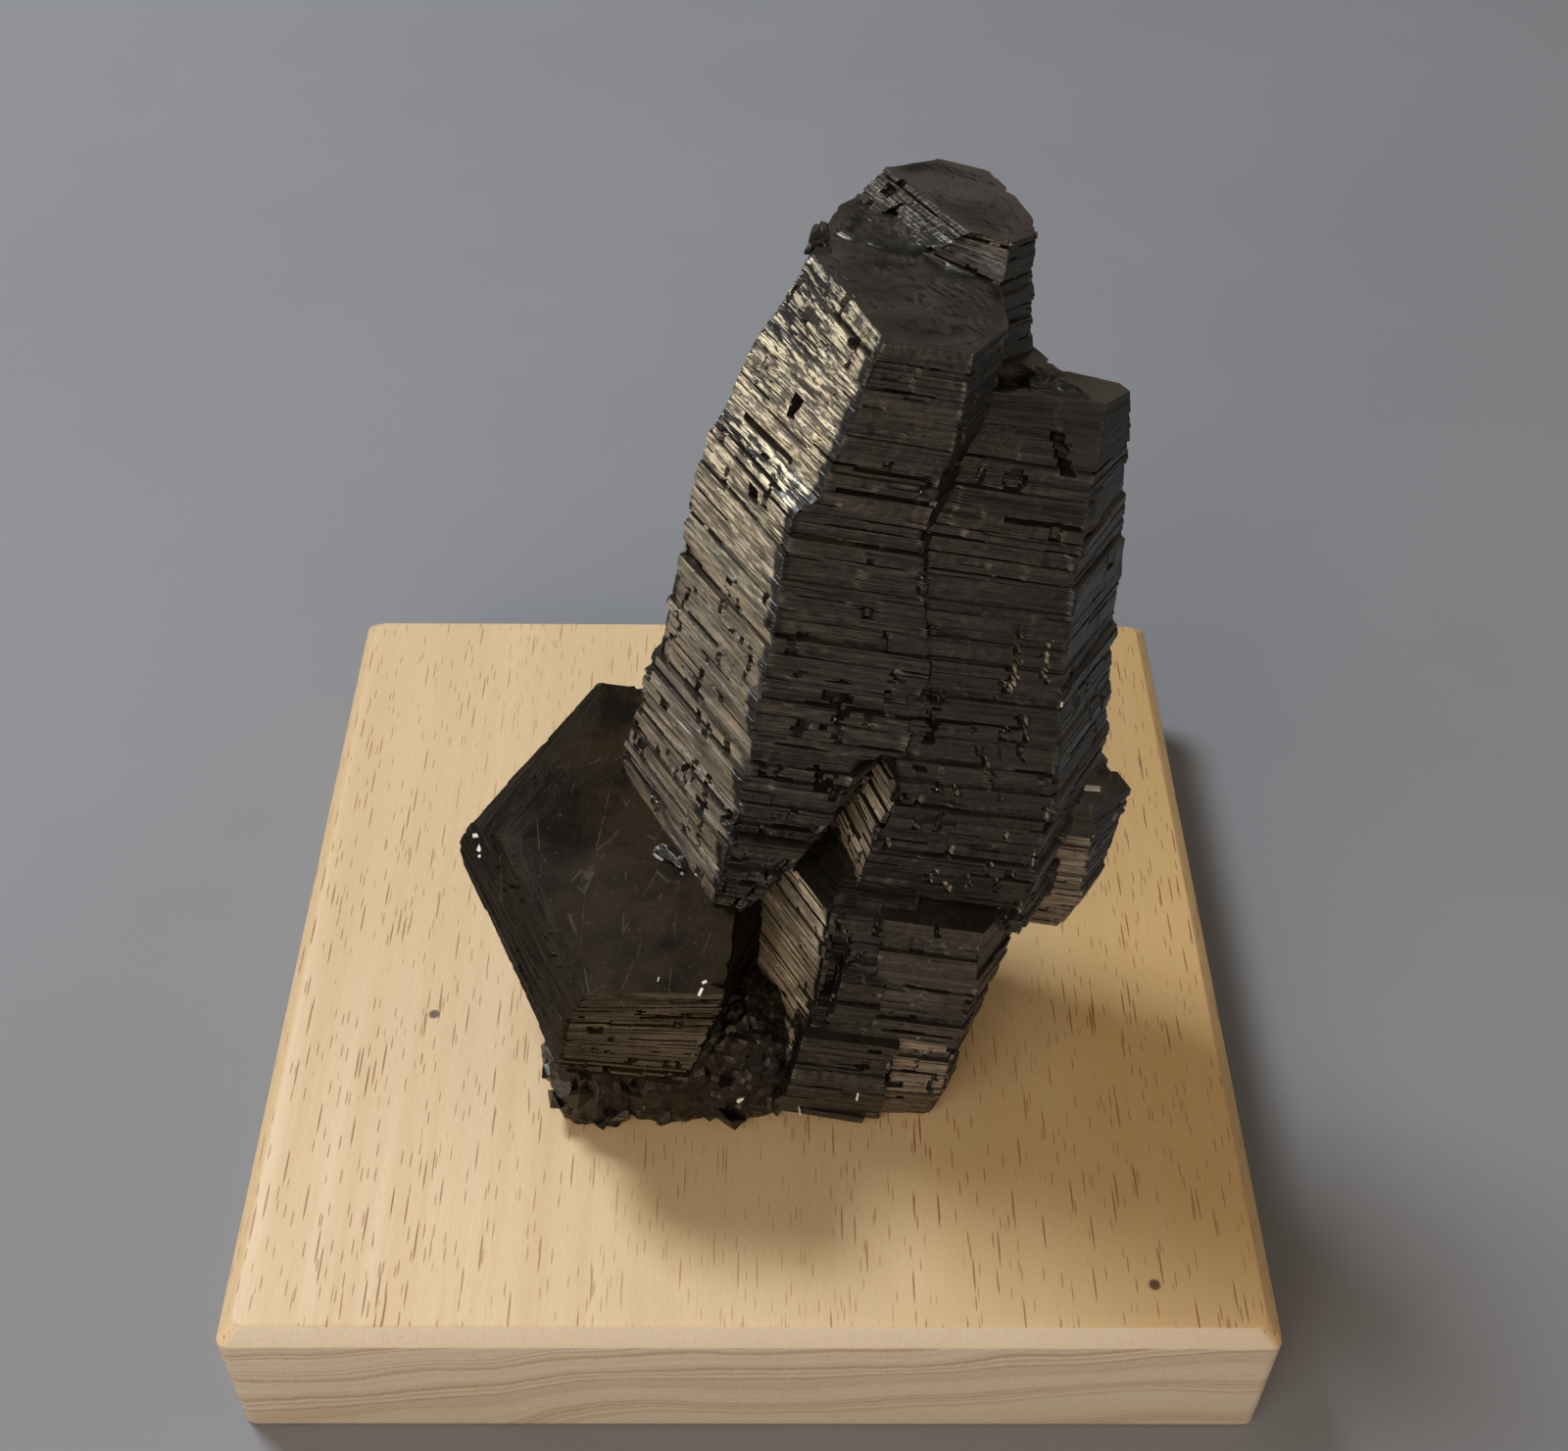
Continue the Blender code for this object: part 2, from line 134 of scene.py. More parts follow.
LOW_RIGHT_PRISM: Levels = (
    (-16.5, -1.2, -3.1, 8.8, -3.1, 10.6, 0.4, 6, 14, -4, 14),
    (-8, -1.6, -3.1, 8.8, -3.1, 12.4, 3.4, 8, 16, -4, 14),
    (-0.4, -2.2, -3.1, 7.5, -3.1, 13.4, 5.6, 8, 16, -4, 14),
)
CORNER_BLOCK: Levels = (
    (-30, 2.4, -1, 8.6, -0.6, 10.6, 3, 6, 10, 1, 8),
    (-23, 2.4, -3.3, 8.8, -3, 10.2, 0.4, 6, 10, 1, 8),
    (-15.4, 2.4, -3.5, 8.4, -3.5, 10.6, 0.8, 6, 10, 1, 8),
)
FRONT_BLOCK: Levels = (
    (-30, -9, -1.8, 3.4, -1.6, 3, 6, -10, 6),
    (-25.2, -7.2, -3.9, 2.6, -4, 3, 6, -9, 6),
    (-16.2, -7.2, -4.3, 2.2, -4.3, 3, 6, -9, 6),
)
MIDDLE_BLOCK: Levels = (
    (-17.5, -5.3, -3.4, -0.6, -3.5, 1, 5, -6, 5),
    (-8.6, -4.8, -3.5, 0, -3.4, 1, 5, -6, 5),
    (-8, -4.6, -2, -0.6, -2.4, 1, 5, -6, 5),
    (-1.6, -4.2, -1.6, -1, -2.2, 1, 5, -6, 5),
)
SIDE_CRYSTAL: Levels = (
    (-8.6, 11, 8.4, 18.8, 8.4, 21.2, 12.4, 18, 17, 8, 16),
    (-4, 11, 8, 19.8, 8.2, 22.6, 13.2, 20, 18.6, 8, 18),
    (4, 11, 8, 18.8, 8.2, 22.9, 13.6, 20.6, 19.4, 8, 19),
    (7, 12, 9.6, 18.2, 9.8, 22.6, 13.4, 20.2, 19, 8, 19),
)
KNOB: Levels = (
    (57.6, -20.6, 15, -18.4, 15.2, -18.2, 17.4, -20.2, 18),
    (59.2, -20.2, 15.3, -18.7, 15.6, -18.6, 17.2, -19.9, 17.6),
    (59.9, -19.8, 15.8, -19, 15.9, -18.9, 16.9, -19.7, 17.1),
)
FLAKE: Levels = (
    (-0.8, 5.4, 3.8, 9.4, 1.2, 10.2, 3, 6.2, 5.8),
    (0.5, 6, 4, 9.2, 1.9, 9.8, 2.8, 6.5, 5.2),
    (0.9, 6.6, 4, 8.8, 2.5, 9.2, 3, 6.9, 4.7),
)
TABULAR_CRYSTAL: Levels = (
    (-19, 2, -8, 10, -8.5, 16, 4, 15, 22, -3, 24, -10, 8),
    (-14.5, -1, -13, 9.6, -13.6, 16, 4, 15, 25, -4, 28.5, -14, 9),
    (-10.5, -1.6, -15.2, 11, -15.6, 16, 4, 15, 27, -5.5, 31.5, -16.8, 9.2),
    (-6, -0.6, -14.8, 13, -14.4, 16, 4, 15, 28, -6, 31, -16.4, 8.6),
    (-2.2, 0.4, -14.2, 14.6, -13.2, 15.6, 4, 14, 27, -4.6, 28.6, -14.2, 8.2),
    (-1, 1.2, -14, 15.1, -12.8, 15.3, 4, 13, 26, -3.6, 27.6, -11.4, 5.8),
    (0, 2.3, -13.1, 15.5, -12.3, 15.2, 4, 9, 9, -2.6, 13, -8, 5),
)


def tilt_turn(tilt: Sequence[float]) -> Quaternion:
    """The turn whose rotation vector is given in degrees.

    Args:
        tilt: turns about X, Y and Z, taken together as one rotation vector.

    Returns:
        The turn as a quaternion.
    """
    return Quaternion(Vector([math.radians(angle) for angle in tilt]))


def placing_of(tilt: Sequence[float], centre: Sequence[float]) -> Matrix:
    """Where a crystal's own axes, in millimetres, lie in the scene, in metres.

    Args:
        tilt: the crystal's tilt in degrees.
        centre: its centre in millimetres.

    Returns:
        The placing matrix.
    """
    turn = tilt_turn(tilt).to_matrix().to_4x4()
    return Matrix.Translation(Vector(centre) * MM) @ turn @ Matrix.Scale(MM, 4)


def finished_object(
    bm: bmesh.types.BMesh, name: str, material: bpy.types.Material, sharp_deg: float = 0.0
) -> bpy.types.Object:
    """Makes an object at the origin from a bmesh whose points are already in place.

    Args:
        bm: the shape, which is freed.
        name: the object's name.
        material: its finish.
        sharp_deg: the angle above which edges between smooth faces stay sharp, or nothing.

    Returns:
        The linked object.
    """
    mesh = bpy.data.meshes.new(name)
    bm.to_mesh(mesh)
    bm.free()
    mesh.materials.append(material)
    if sharp_deg:
        mesh.set_sharp_from_angle(angle=math.radians(sharp_deg))
    piece = bpy.data.objects.new(name, mesh)
    bpy.context.scene.collection.objects.link(piece)
    return piece


def bevel(bm: bmesh.types.BMesh, edges: Iterable[bmesh.types.BMEdge], width: float, rounds: int = 1) -> None:
    """Bevels some edges of a shape."""
    options = {"segments": rounds, "profile": 0.5, "affect": "EDGES", "material": -1}
    bmesh.ops.bevel(bm, geom=list(edges), offset=width, **options)


def enter(piece: bpy.types.Object, node: Node) -> None:
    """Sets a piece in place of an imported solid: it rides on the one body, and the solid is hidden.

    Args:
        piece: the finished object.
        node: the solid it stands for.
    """
    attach(piece, "root")
    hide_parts(node.value)
    LOG.info("%s: %d faces", piece.name, len(piece.data.polygons))


@dataclass(frozen=True)
class PhotoView:
    """The photograph's viewpoint, worked out from the block's corners."""

    place_m: Triple = (0.00118, -0.14406, 0.19573)
    pitch_deg: float = 45.27735
    yaw_deg: float = 0.78413
    roll_deg: float = 0.80523
    focal_px: float = 1997.3
    width_px: int = 1600
    height_px: int = 1481
    film_mm: float = 36.0

    def axes(self) -> Matrix:
        """Works out how the camera is turned.

        Returns:
            Its right, up and backward directions as the columns of a turn.
        """
        pitch, yaw, roll = (math.radians(a) for a in (self.pitch_deg, self.yaw_deg, self.roll_deg))
        level = Vector((math.cos(yaw), -math.sin(yaw), 0.0))
        ahead = Vector((math.sin(yaw), math.cos(yaw), 0.0))
        forward = ahead * math.cos(pitch) - Vector((0.0, 0.0, math.sin(pitch)))
        upright = level.cross(forward)
        right = math.cos(roll) * level + math.sin(roll) * upright
        up = -math.sin(roll) * level + math.cos(roll) * upright
        return Matrix((right, up, -forward)).transposed()

    def ray(self, pixel: Sequence[float]) -> Vector:
        """Follows a pixel into the scene.

        Args:
            pixel: the place in the photograph's frame.

        Returns:
            The direction from the camera through it.
        """
        across = (pixel[0] - self.width_px / 2) / self.focal_px
        down = (pixel[1] - self.height_px / 2) / self.focal_px
        return (self.axes() @ Vector((across, -down, -1.0))).normalized()

    def place_camera(self) -> None:
        """Makes the camera and hands it to the scene."""
        data = bpy.data.cameras.new("photo_view")
        data.sensor_fit = "HORIZONTAL"
        data.sensor_width = self.film_mm
        data.lens = self.focal_px / self.width_px * self.film_mm
        data.clip_start = 0.01
        camera = bpy.data.objects.new("photo_view", data)
        camera.matrix_world = Matrix.Translation(self.place_m) @ self.axes().to_4x4()
        bpy.context.scene.collection.objects.link(camera)
        bpy.context.scene.camera = camera


class Pen:
    """Writes shader nodes into one material."""

    def __init__(self, name: str) -> None:
        """Makes the material with its one shader.

        Args:
            name: the material's name.
        """
        self.material = bpy.data.materials.new(name)
        self.material.use_nodes = True
        self.tree = self.material.node_tree
        self.shader = self.tree.nodes["Principled BSDF"]

    def feed(self, socket: Socket, value: Value) -> None:
        """Links a socket into another, or sets its plain value.

        Args:
            socket: the one that is fed.
            value: a socket or a plain value.
        """
        if isinstance(value, Socket):
            self.tree.links.new(value, socket)
        else:
            socket.default_value = value

    def add(self, kind: str, inputs: dict[Union[str, int], Value], **settings: object) -> bpy.types.Node:
        """Adds one node.

        Args:
            kind: its type without the ShaderNode prefix.
            inputs: socket name or number to a value or to the socket that feeds it.
            settings: the node's own options.

        Returns:
            The node.
        """
        node = self.tree.nodes.new("ShaderNode" + kind)
        for option, choice in settings.items():
            setattr(node, option, choice)
        for key, value in inputs.items():
            self.feed(node.inputs[key], value)
        return node

    def math(self, operation: str, *values: Value) -> Socket:
        """One sum of numbers."""
        return self.add("Math", dict(enumerate(values)), operation=operation).outputs[0]

    def times(self, first: Value, second: Value) -> Socket:
        """Two numbers multiplied."""
        return self.math("MULTIPLY", first, second)

    def plus(self, first: Value, second: Value) -> Socket:
        """Two numbers added."""
        return self.math("ADD", first, second)

    def dot(self, first: Value, second: Value) -> Socket:
        """The scalar product of two vectors."""
        return self.add("VectorMath", {0: first, 1: second}, operation="DOT_PRODUCT").outputs["Value"]

    def distance(self, first: Value, second: Value) -> Socket:
        """How far apart two points are."""
        return self.add("VectorMath", {0: first, 1: second}, operation="DISTANCE").outputs["Value"]

    def points(self) -> Socket:
        """The object's own coordinates."""
        return self.add("TexCoord", {}).outputs["Object"]

    def normal(self) -> Socket:
        """The flat face's own normal."""
        return self.add("NewGeometry", {}).outputs["True Normal"]

    def turned(self, points: Value, angles: Sequence[float]) -> Socket:
        """The coordinates turned about X, Y and Z."""
        return self.add("Mapping", {"Vector": points, "Rotation": angles}).outputs["Vector"]

    def paint(self, socket: str, value: Value) -> None:
        """Feeds one socket of the shader."""
        self.feed(self.shader.inputs[socket], value)

    def emboss(self, height: Value, strength: float, distance_m: float) -> None:
        """Lets a height disturb the shader's normal."""
        inputs = {"Height": height, "Strength": strength, "Distance": distance_m}
        self.paint("Normal", self.add("Bump", inputs).outputs["Normal"])

    def span(self, value: Value, low: float, high: float, bottom: float = 0.0, top: float = 1.0) -> Socket:
        """Stretches a value between two limits, clamped."""
        inputs = {"Value": value, "From Min": low, "From Max": high, "To Min": bottom, "To Max": top}
        return self.add("MapRange", inputs).outputs["Result"]

    def mix(self, share: Value, first: Value, second: Value, blend: str = "MIX") -> Socket:
        """Mixes two colours.

        Args:
            share: how much of the second is seen.
            first: the colour at a share of nothing.
            second: the colour at a share of one.
            blend: how they are mixed.

        Returns:
            The mixed colour.
        """
        node = self.tree.nodes.new("ShaderNodeMix")
        node.data_type = "RGBA"
        node.blend_type = blend
        for key, value in (("Factor_Float", share), ("A_Color", first), ("B_Color", second)):
            socket = next(s for s in node.inputs if s.identifier == key)
            if not isinstance(value, (Socket, float)):
                value = (*value, 1.0)
            self.feed(socket, value)
        return next(s for s in node.outputs if s.identifier == "Result_Color")

    def stretched(self, points: Value, scale: Sequence[float]) -> Socket:
        """The coordinates multiplied by a scale of features per metre along each axis."""
        return self.add("Mapping", {"Vector": points, "Scale": scale}).outputs["Vector"]

    def noise(self, points: Value, scale: Sequence[float], detail: float = 3.0, rough: float = 0.6) -> Socket:
        """Plain noise with its own number of features per metre along each axis."""
        inputs = {"Vector": self.stretched(points, scale), "Detail": detail, "Roughness": rough}
        return self.add("TexNoise", {**inputs, "Scale": 1.0}).outputs["Fac"]


@dataclass(frozen=True)
class PyrrhotiteFinish:
    """Dark bronze sulfide.

    Its prism faces are finely striated, its basal faces smooth and tarnished. Faces that look the finish's
    lit way get painted light, a paler and less metallic tone, once they lie the set millimetres behind the
    front. Painted glints lie round one point.
    """

    name: str
    tilt: Triple = TALL_TILT
    deep: Triple = (0.037, 0.0362, 0.0355)
    bronze: Triple = (0.088, 0.084, 0.079)
    tarnish: Triple = (0.185, 0.160, 0.138)
    satin: Triple = (0.110, 0.094, 0.080)
    scuff: Triple = (0.26, 0.23, 0.20)
    # Painted highlight: the colour of the painted glints and sparkles
    glint_tone: Triple = (1.0, 0.87, 0.62)
    # Painted light on the faces lit from one side: their paler tone and way here, their metal, share and
    # depth behind the front below
    lit_side_tone: Triple = (0.54, 0.44, 0.315)
    lit_side_way: Triple = (-0.85, -0.49, 0.19)
    metallic: float = 0.9
    lit_side_metallic: float = 0.5
    specular: float = 0.5
    prism_roughness: float = 0.36
    basal_roughness: float = 0.27
    striae: float = 0.8
    lit_side_amount: float = 0.9
    lit_side_from: float = -0.2
    # Painted glints: where they lie, how far they reach and how strong they are
    glint_centre_m: Triple = (-0.007, -0.014, 0.100)
    glint_reach_m: float = 0.028
    glint_amount: float = 0.0

    def axis_points(self, pen: Pen) -> Socket:
        """Object coordinates turned so that Z runs along the crystal's axis."""
        turn = tilt_turn(self.tilt).inverted().to_euler("XYZ")
        return pen.turned(pen.points(), turn)

    def facing(self, pen: Pen, way: Vector, low: float, high: float) -> Socket:
        """One where the surface faces a direction of the object, nothing where it faces away from it."""
        return pen.span(pen.dot(pen.normal(), way.normalized()), low, high)

    def scuffs(self, pen: Pen, points: Value) -> Socket:
        """Finds broken thin lines and small flecks, as on worn basal faces.

        Args:
            pen: writes the nodes.
            points: coordinates along the crystal's axis.

        Returns:
            How scuffed the surface is.
        """
        waver = pen.noise(points, (330, 330, 330), 3.0)
        inputs = {"Vector": pen.stretched(points, (260, 90, 90)), "Scale": 1.0}
        crack = pen.add("TexVoronoi", inputs, feature="DISTANCE_TO_EDGE").outputs["Distance"]
        lines = pen.times(pen.span(crack, 0.018, 0.006), pen.span(waver, 0.50, 0.58))
        flecks = pen.span(pen.noise(points, (2300, 1700, 1700), 4.0, 0.75), 0.60, 0.70)
        return pen.times(pen.math("MAXIMUM", lines, flecks), 0.6)

    def behind_front(self, pen: Pen) -> Socket:
        """Keeps the painted light of the lit sides off the front faces and their cracks.

        Args:
            pen: writes the nodes.

        Returns:
            Nothing at the crystals' front faces and one behind them.
        """
        inward = tilt_turn(self.tilt) @ Vector((0, 1, 0))
        start = inward.dot(Vector(TALL_CENTRE)) * MM + self.lit_side_from * MM
        return pen.span(pen.dot(pen.points(), inward), start, start + 0.4 * MM)

    def painted_glint_share(self, pen: Pen, points: Value, streaks: Value) -> Socket:
        """Finds where the painted glints go, in streaks round one place.

        Args:
            pen: writes the nodes.
            points: coordinates along the crystal's axis.
            streaks: the fine plates' pattern.

        Returns:
            How bright the painted glint is.
        """
        away = pen.distance(pen.points(), self.glint_centre_m)
        near = pen.span(away, self.glint_reach_m, self.glint_reach_m * 0.4)
        patches = pen.span(pen.noise(points, (560, 560, 2600)), 0.45, 0.54)
        share = pen.times(near, pen.span(streaks, 0.25, 0.55))
        return pen.times(share, pen.times(patches, self.glint_amount))

    def build(self) -> bpy.types.Material:
        """Writes the material.

        Returns:
            The material.
        """
        pen = Pen(self.name)
        points = self.axis_points(pen)
        basal = self.facing(pen, tilt_turn(self.tilt) @ Vector((0, 0, 1)), 0.965, 0.992)
        fine = pen.noise(points, (300, 300, 9000), 2.0)
        broad = pen.noise(points, (110, 110, 2300), 3.0)
        mottle = pen.noise(points, (150, 150, 260), 4.0)
        grain = pen.noise(points, (2600, 2600, 3200), 3.0)
        smudge = pen.noise(points, (60, 75, 60), 5.0, 0.65)
        ridges = pen.span(pen.plus(fine, broad), 0.75, 1.3)
        prism_tone = pen.mix(ridges, self.deep, self.bronze)
        behind = self.behind_front(pen)
        # Painted light: faces that look the lit way, behind the front, turn paler and less metallic in
        # patches
        side = pen.times(self.facing(pen, Vector(self.lit_side_way), 0.93, 0.975), behind)
        # The patches where that painted light shows, by mottle and by ridges
        worn = pen.times(pen.span(mottle, 0.30, 0.62, 0.45, 1.0), pen.span(ridges, 0.15, 0.75, 0.35, 1.0))
        painted_lit_side = pen.times(pen.times(side, worn), self.lit_side_amount)
        prism_tone = pen.mix(painted_lit_side, prism_tone, self.lit_side_tone)
        patchy = pen.plus(pen.times(smudge, 0.6), pen.times(mottle, 0.4))
        basal_tone = pen.mix(pen.span(patchy, 0.44, 0.54), self.tarnish, self.satin)
        basal_tone = pen.mix(self.scuffs(pen, points), basal_tone, self.scuff)
        tone = pen.mix(basal, prism_tone, basal_tone)
        prism = pen.math("SUBTRACT", 1.0, basal)
        # Painted sparkles: small glints of the glint colour, at random on the prism faces
        flecks = pen.times(pen.span(grain, 0.68, 0.80, 0.0, 0.14), prism)
        tone = pen.mix(flecks, tone, self.glint_tone)
        # Painted glints in streaks on the lit faces near one point
        beside = pen.times(self.facing(pen, Vector(self.lit_side_way), 0.62, 0.75), behind)
        painted_glints = pen.times(self.painted_glint_share(pen, points, ridges), beside)
        tone = pen.mix(painted_glints, tone, self.glint_tone)
        pen.paint("Base Color", tone)
        pen.paint("Specular IOR Level", self.specular)
        # Painted light and painted glints take away metal and add roughness
        painted_light_share = pen.math("MAXIMUM", painted_lit_side, pen.times(painted_glints, 1.5))
        pen.paint("Metallic", pen.span(painted_light_share, 0.0, 1.0, self.metallic, self.lit_side_metallic))
        rough = pen.add("Mix", {0: basal, 2: self.prism_roughness, 3: self.basal_roughness}).outputs[0]
        rough = pen.plus(rough, pen.times(painted_light_share, 0.18))
        rough = pen.plus(rough, pen.span(smudge, 0.3, 0.7, -0.03, 0.05))
        pen.paint("Roughness", rough)
        prism_depth = pen.plus(pen.times(fine, 0.5), pen.times(broad, 0.8))
        prism_depth = pen.plus(prism_depth, pen.times(grain, 0.12))
        depth = pen.add("Mix", {0: basal, 2: prism_depth, 3: pen.times(smudge, 0.3)}).outputs[0]
        pen.emboss(depth, self.striae, 0.0002)
        return pen.material


# Every finish paints light on the faces that look its lit way, the left unless it says another; brassy and
# brown paint it on the faces that look to the front. glinting and tip also have painted glints.
FINISHES = {
    "dark": PyrrhotiteFinish("bronze_dark"),
    "glinting": PyrrhotiteFinish("bronze_glinting", glint_amount=1.0),
    "bright": PyrrhotiteFinish(
        "bronze_bright", lit_side_tone=(1.0, 0.88, 0.70), lit_side_amount=1.0, lit_side_metallic=0.2, lit_side_from=-2.2,
    ),
    "inner": PyrrhotiteFinish(
        "bronze_inner", lit_side_tone=(0.9, 0.79, 0.62), lit_side_way=(-0.90, -0.38, 0.2), lit_side_metallic=0.3,
    ),
    "brassy": PyrrhotiteFinish(
        "bronze_brassy", deep=(0.045, 0.042, 0.039), bronze=(0.085, 0.079, 0.072), lit_side_tone=(0.42, 0.37, 0.31),
        lit_side_way=(0.0, -1.0, 0.12), lit_side_amount=0.85, lit_side_from=-1000.0,
    ),
    "slate": PyrrhotiteFinish(
        "bronze_slate", deep=(0.05, 0.048, 0.046), bronze=(0.125, 0.117, 0.108), lit_side_amount=0.3,
    ),
    "tip": PyrrhotiteFinish(
        "bronze_tip", glint_amount=0.8, lit_side_amount=0.5, tarnish=(0.22, 0.185, 0.178),
        satin=(0.14, 0.118, 0.112),
    ),
    "brown": PyrrhotiteFinish(
        "bronze_brown", TABULAR_TILT, deep=(0.007, 0.0055, 0.0038), bronze=(0.030, 0.0245, 0.0175),
        tarnish=(0.0215, 0.0143, 0.0072), satin=(0.0072, 0.0052, 0.0030), scuff=(0.068, 0.057, 0.043),
        lit_side_tone=(0.115, 0.092, 0.065), lit_side_way=(-0.12, -0.94, 0.3), metallic=0.0, lit_side_metallic=0.0,
        specular=0.022, lit_side_from=-1000.0, prism_roughness=0.45, basal_roughness=0.48,
    ),
    # The foot's finish, darker than the crystals above it
    "black": PyrrhotiteFinish(
        "dark_foot_tone", deep=(0.022, 0.020, 0.018), bronze=(0.05, 0.044, 0.038), lit_side_amount=0.15, striae=0.5,
    ),
}
FINISH_OF = {
    "main_prism": "glinting", "right_prism": "inner", "tip_prism": "tip", "knob": "bright",
    "low_left_prism": "bright", "middle_block": "bright", "front_block": "bright", "low_right_prism": "slate",
    "side_crystal": "brassy", "corner_block": "brassy", "tabular_crystal": "brown",
}


@dataclass(frozen=True)
class WoodFinish:
    """Pale planed hardwood whose vessels run from front to back, open as pores at its two ends."""

    name: str = "pale_hardwood"
    light: Triple = (0.64, 0.475, 0.285)
    dark: Triple = (0.54, 0.375, 0.20)
    # amber is partly the wood's own tone and partly a painted warm shade on the shadow side
    amber: Triple = (0.52, 0.325, 0.12)
    vessel: Triple = (0.27, 0.10, 0.03)
    knot: Triple = (0.10, 0.055, 0.025)
    knots_m: tuple[Triple, ...] = ((0.0403, -0.0464, 0.018), (-0.0355, -0.0135, 0.018))
    knot_radius_m: float = 0.00045
    end_light: Triple = (0.54, 0.475, 0.40)
    end_dark: Triple = (0.36, 0.245, 0.135)
    fibre: Triple = (0.56, 0.455, 0.335)

    def cells(self, pen: Pen, points: Value, scale: Sequence[float], radius: float, edge: float) -> Value:
        """Small dark marks, one near the middle of each stretched cell of a Voronoi pattern."""
        cells = pen.add("TexVoronoi", {"Vector": pen.stretched(points, scale), "Scale": 1.0})
        return pen.span(cells.outputs["Distance"], radius + edge, radius)

    def vessels(self, pen: Pen, points: Value) -> Socket:
        """Scatters short dashes of two sizes, fewer in some zones than in others.

        Args:
            pen: writes the nodes.
            points: the object's coordinates.

        Returns:
            How dark the vessels make the wood.
        """
        zones = pen.span(pen.noise(points, (42, 10, 42), 2.0), 0.34, 0.54, 0.35, 1.0)
        long = self.cells(pen, points, (1700, 80, 1700), 0.135, 0.055)
        short = self.cells(pen, points, (2300, 200, 2300), 0.15, 0.06)
        both = pen.math("MAXIMUM", long, pen.times(short, 0.75))
        return pen.times(both, zones)

    def end_tone(self, pen: Pen, points: Value) -> Socket:
        """Colours the sawn ends: wavy slanting year rings, dusty and paler, with fine pores.

        Args:
            pen: writes the nodes.
            points: the object's coordinates.

        Returns:
            The colour.
        """
        tilted = pen.turned(points, (0.0, math.radians(9), 0.0))
        bend = pen.noise(points, (22, 22, 30), 2.0)
        lifted = pen.dot(tilted, (0.0, 0.0, 1.0))
        lifted = pen.plus(lifted, pen.times(bend, 0.016))
        lifted = pen.plus(lifted, pen.times(pen.noise(points, (420, 420, 420), 2.0), 0.0007))
        row = pen.add("CombineXYZ", {"Z": lifted}).outputs["Vector"]
        wave = pen.noise(row, (1, 1, 1300), 1.0)
        bunch = pen.span(pen.noise(row, (1, 1, 190), 0.0), 0.42, 0.56, 0.12, 1.0)
        wave = pen.times(pen.span(wave, 0.40, 0.60), bunch)
        pores = self.cells(pen, points, (1900, 300, 1900), 0.15, 0.2)
        dust = pen.noise(points, (2600, 2600, 2600), 2.0)
        tone = pen.mix(pen.times(wave, 0.85), self.end_light, self.end_dark)
        tone = pen.mix(pen.times(pores, 0.35), tone, self.end_dark)
        return pen.mix(pen.span(dust, 0.4, 0.75, 0.0, 0.4), tone, self.end_light)

    def build(self) -> bpy.types.Material:
        """Writes the material.

        Returns:
            The material.
        """
        pen = Pen(self.name)
        points = pen.points()
        streaks = pen.noise(points, (520, 9, 520), 4.0)
        clouds = pen.noise(points, (38, 8, 38), 3.0)
        speckle = pen.noise(points, (2400, 700, 2400), 3.0)
        tone = pen.mix(pen.span(clouds, 0.32, 0.68, 0.0, 0.85), self.light, self.dark)
        # Amber toward the right, where the specimen's shadow falls: partly the wood's own tone, partly
        # painted warm shade
        across = pen.dot(points, (1.0, 0.2, 0.0))
        amber_and_shade_side = pen.plus(across, pen.span(clouds, 0.3, 0.7, -0.008, 0.008))
        tone = pen.mix(pen.span(amber_and_shade_side, 0.004, 0.040, 0.0, 0.9), tone, self.amber)
        tone = pen.mix(pen.span(streaks, 0.42, 0.72, 0.0, 0.45), tone, self.dark)
        tone = pen.mix(pen.span(speckle, 0.45, 0.75, 0.0, 0.35), tone, self.dark)
        vessels = self.vessels(pen, points)
        tone = pen.mix(pen.times(vessels, 0.95), tone, self.vessel)
        for place in self.knots_m:
            away = pen.distance(points, place)
            tone = pen.mix(pen.span(away, self.knot_radius_m * 1.6, self.knot_radius_m), tone, self.knot)
        normal = pen.normal()
        facing = pen.dot(normal, (0.0, 1.0, 0.0))
        end = pen.span(pen.math("ABSOLUTE", facing), 0.55, 0.85)
        tone = pen.mix(end, tone, self.end_tone(pen, points))
        fibrous = pen.span(pen.dot(normal, (0.0, -0.7071, 0.7071)), 0.93, 0.99, 0.0, 0.9)
        fray = pen.span(pen.noise(points, (900, 900, 2600), 3.0), 0.35, 0.7)
        tone = pen.mix(fibrous, tone, pen.mix(pen.times(fray, 0.6), self.fibre, self.end_light))
        pen.paint("Base Color", tone)
        pen.paint("Roughness", pen.span(streaks, 0.3, 0.7, 0.46, 0.60))
        height = pen.math("SUBTRACT", pen.times(speckle, 0.5), vessels)
        pen.emboss(height, 0.4, 0.00012)
        return pen.material


@dataclass(frozen=True)
class PlainFinish:
    """A dull surface with a faint grain: the pale specks, dust with some painted glints, or the floor."""

    name: str
    tone: Triple
    second: Triple
    grain_per_m: float
    roughness: float = 0.8

    def build(self) -> bpy.types.Material:
        """Writes the material.

        Returns:
            The material.
        """
        pen = Pen(self.name)
        points = pen.points()
        grain = pen.noise(points, (self.grain_per_m,) * 3, 4.0)
        pen.paint("Base Color", pen.mix(pen.span(grain, 0.3, 0.7), self.tone, self.second))
        pen.paint("Roughness", self.roughness)
        return pen.material


@dataclass(frozen=True)
class Mark:
    """A listed break on one side.

    It reaches from start to stop along the side and from low to high along the axis. It leans by lean
    millimetres of run a millimetre of height, and its two edges are ragged.
    """

    side: int
    start: float
    stop: float
    low: float
    high: float
    depth: float
    lean: float = 0.0
    ragged: float = 0.12


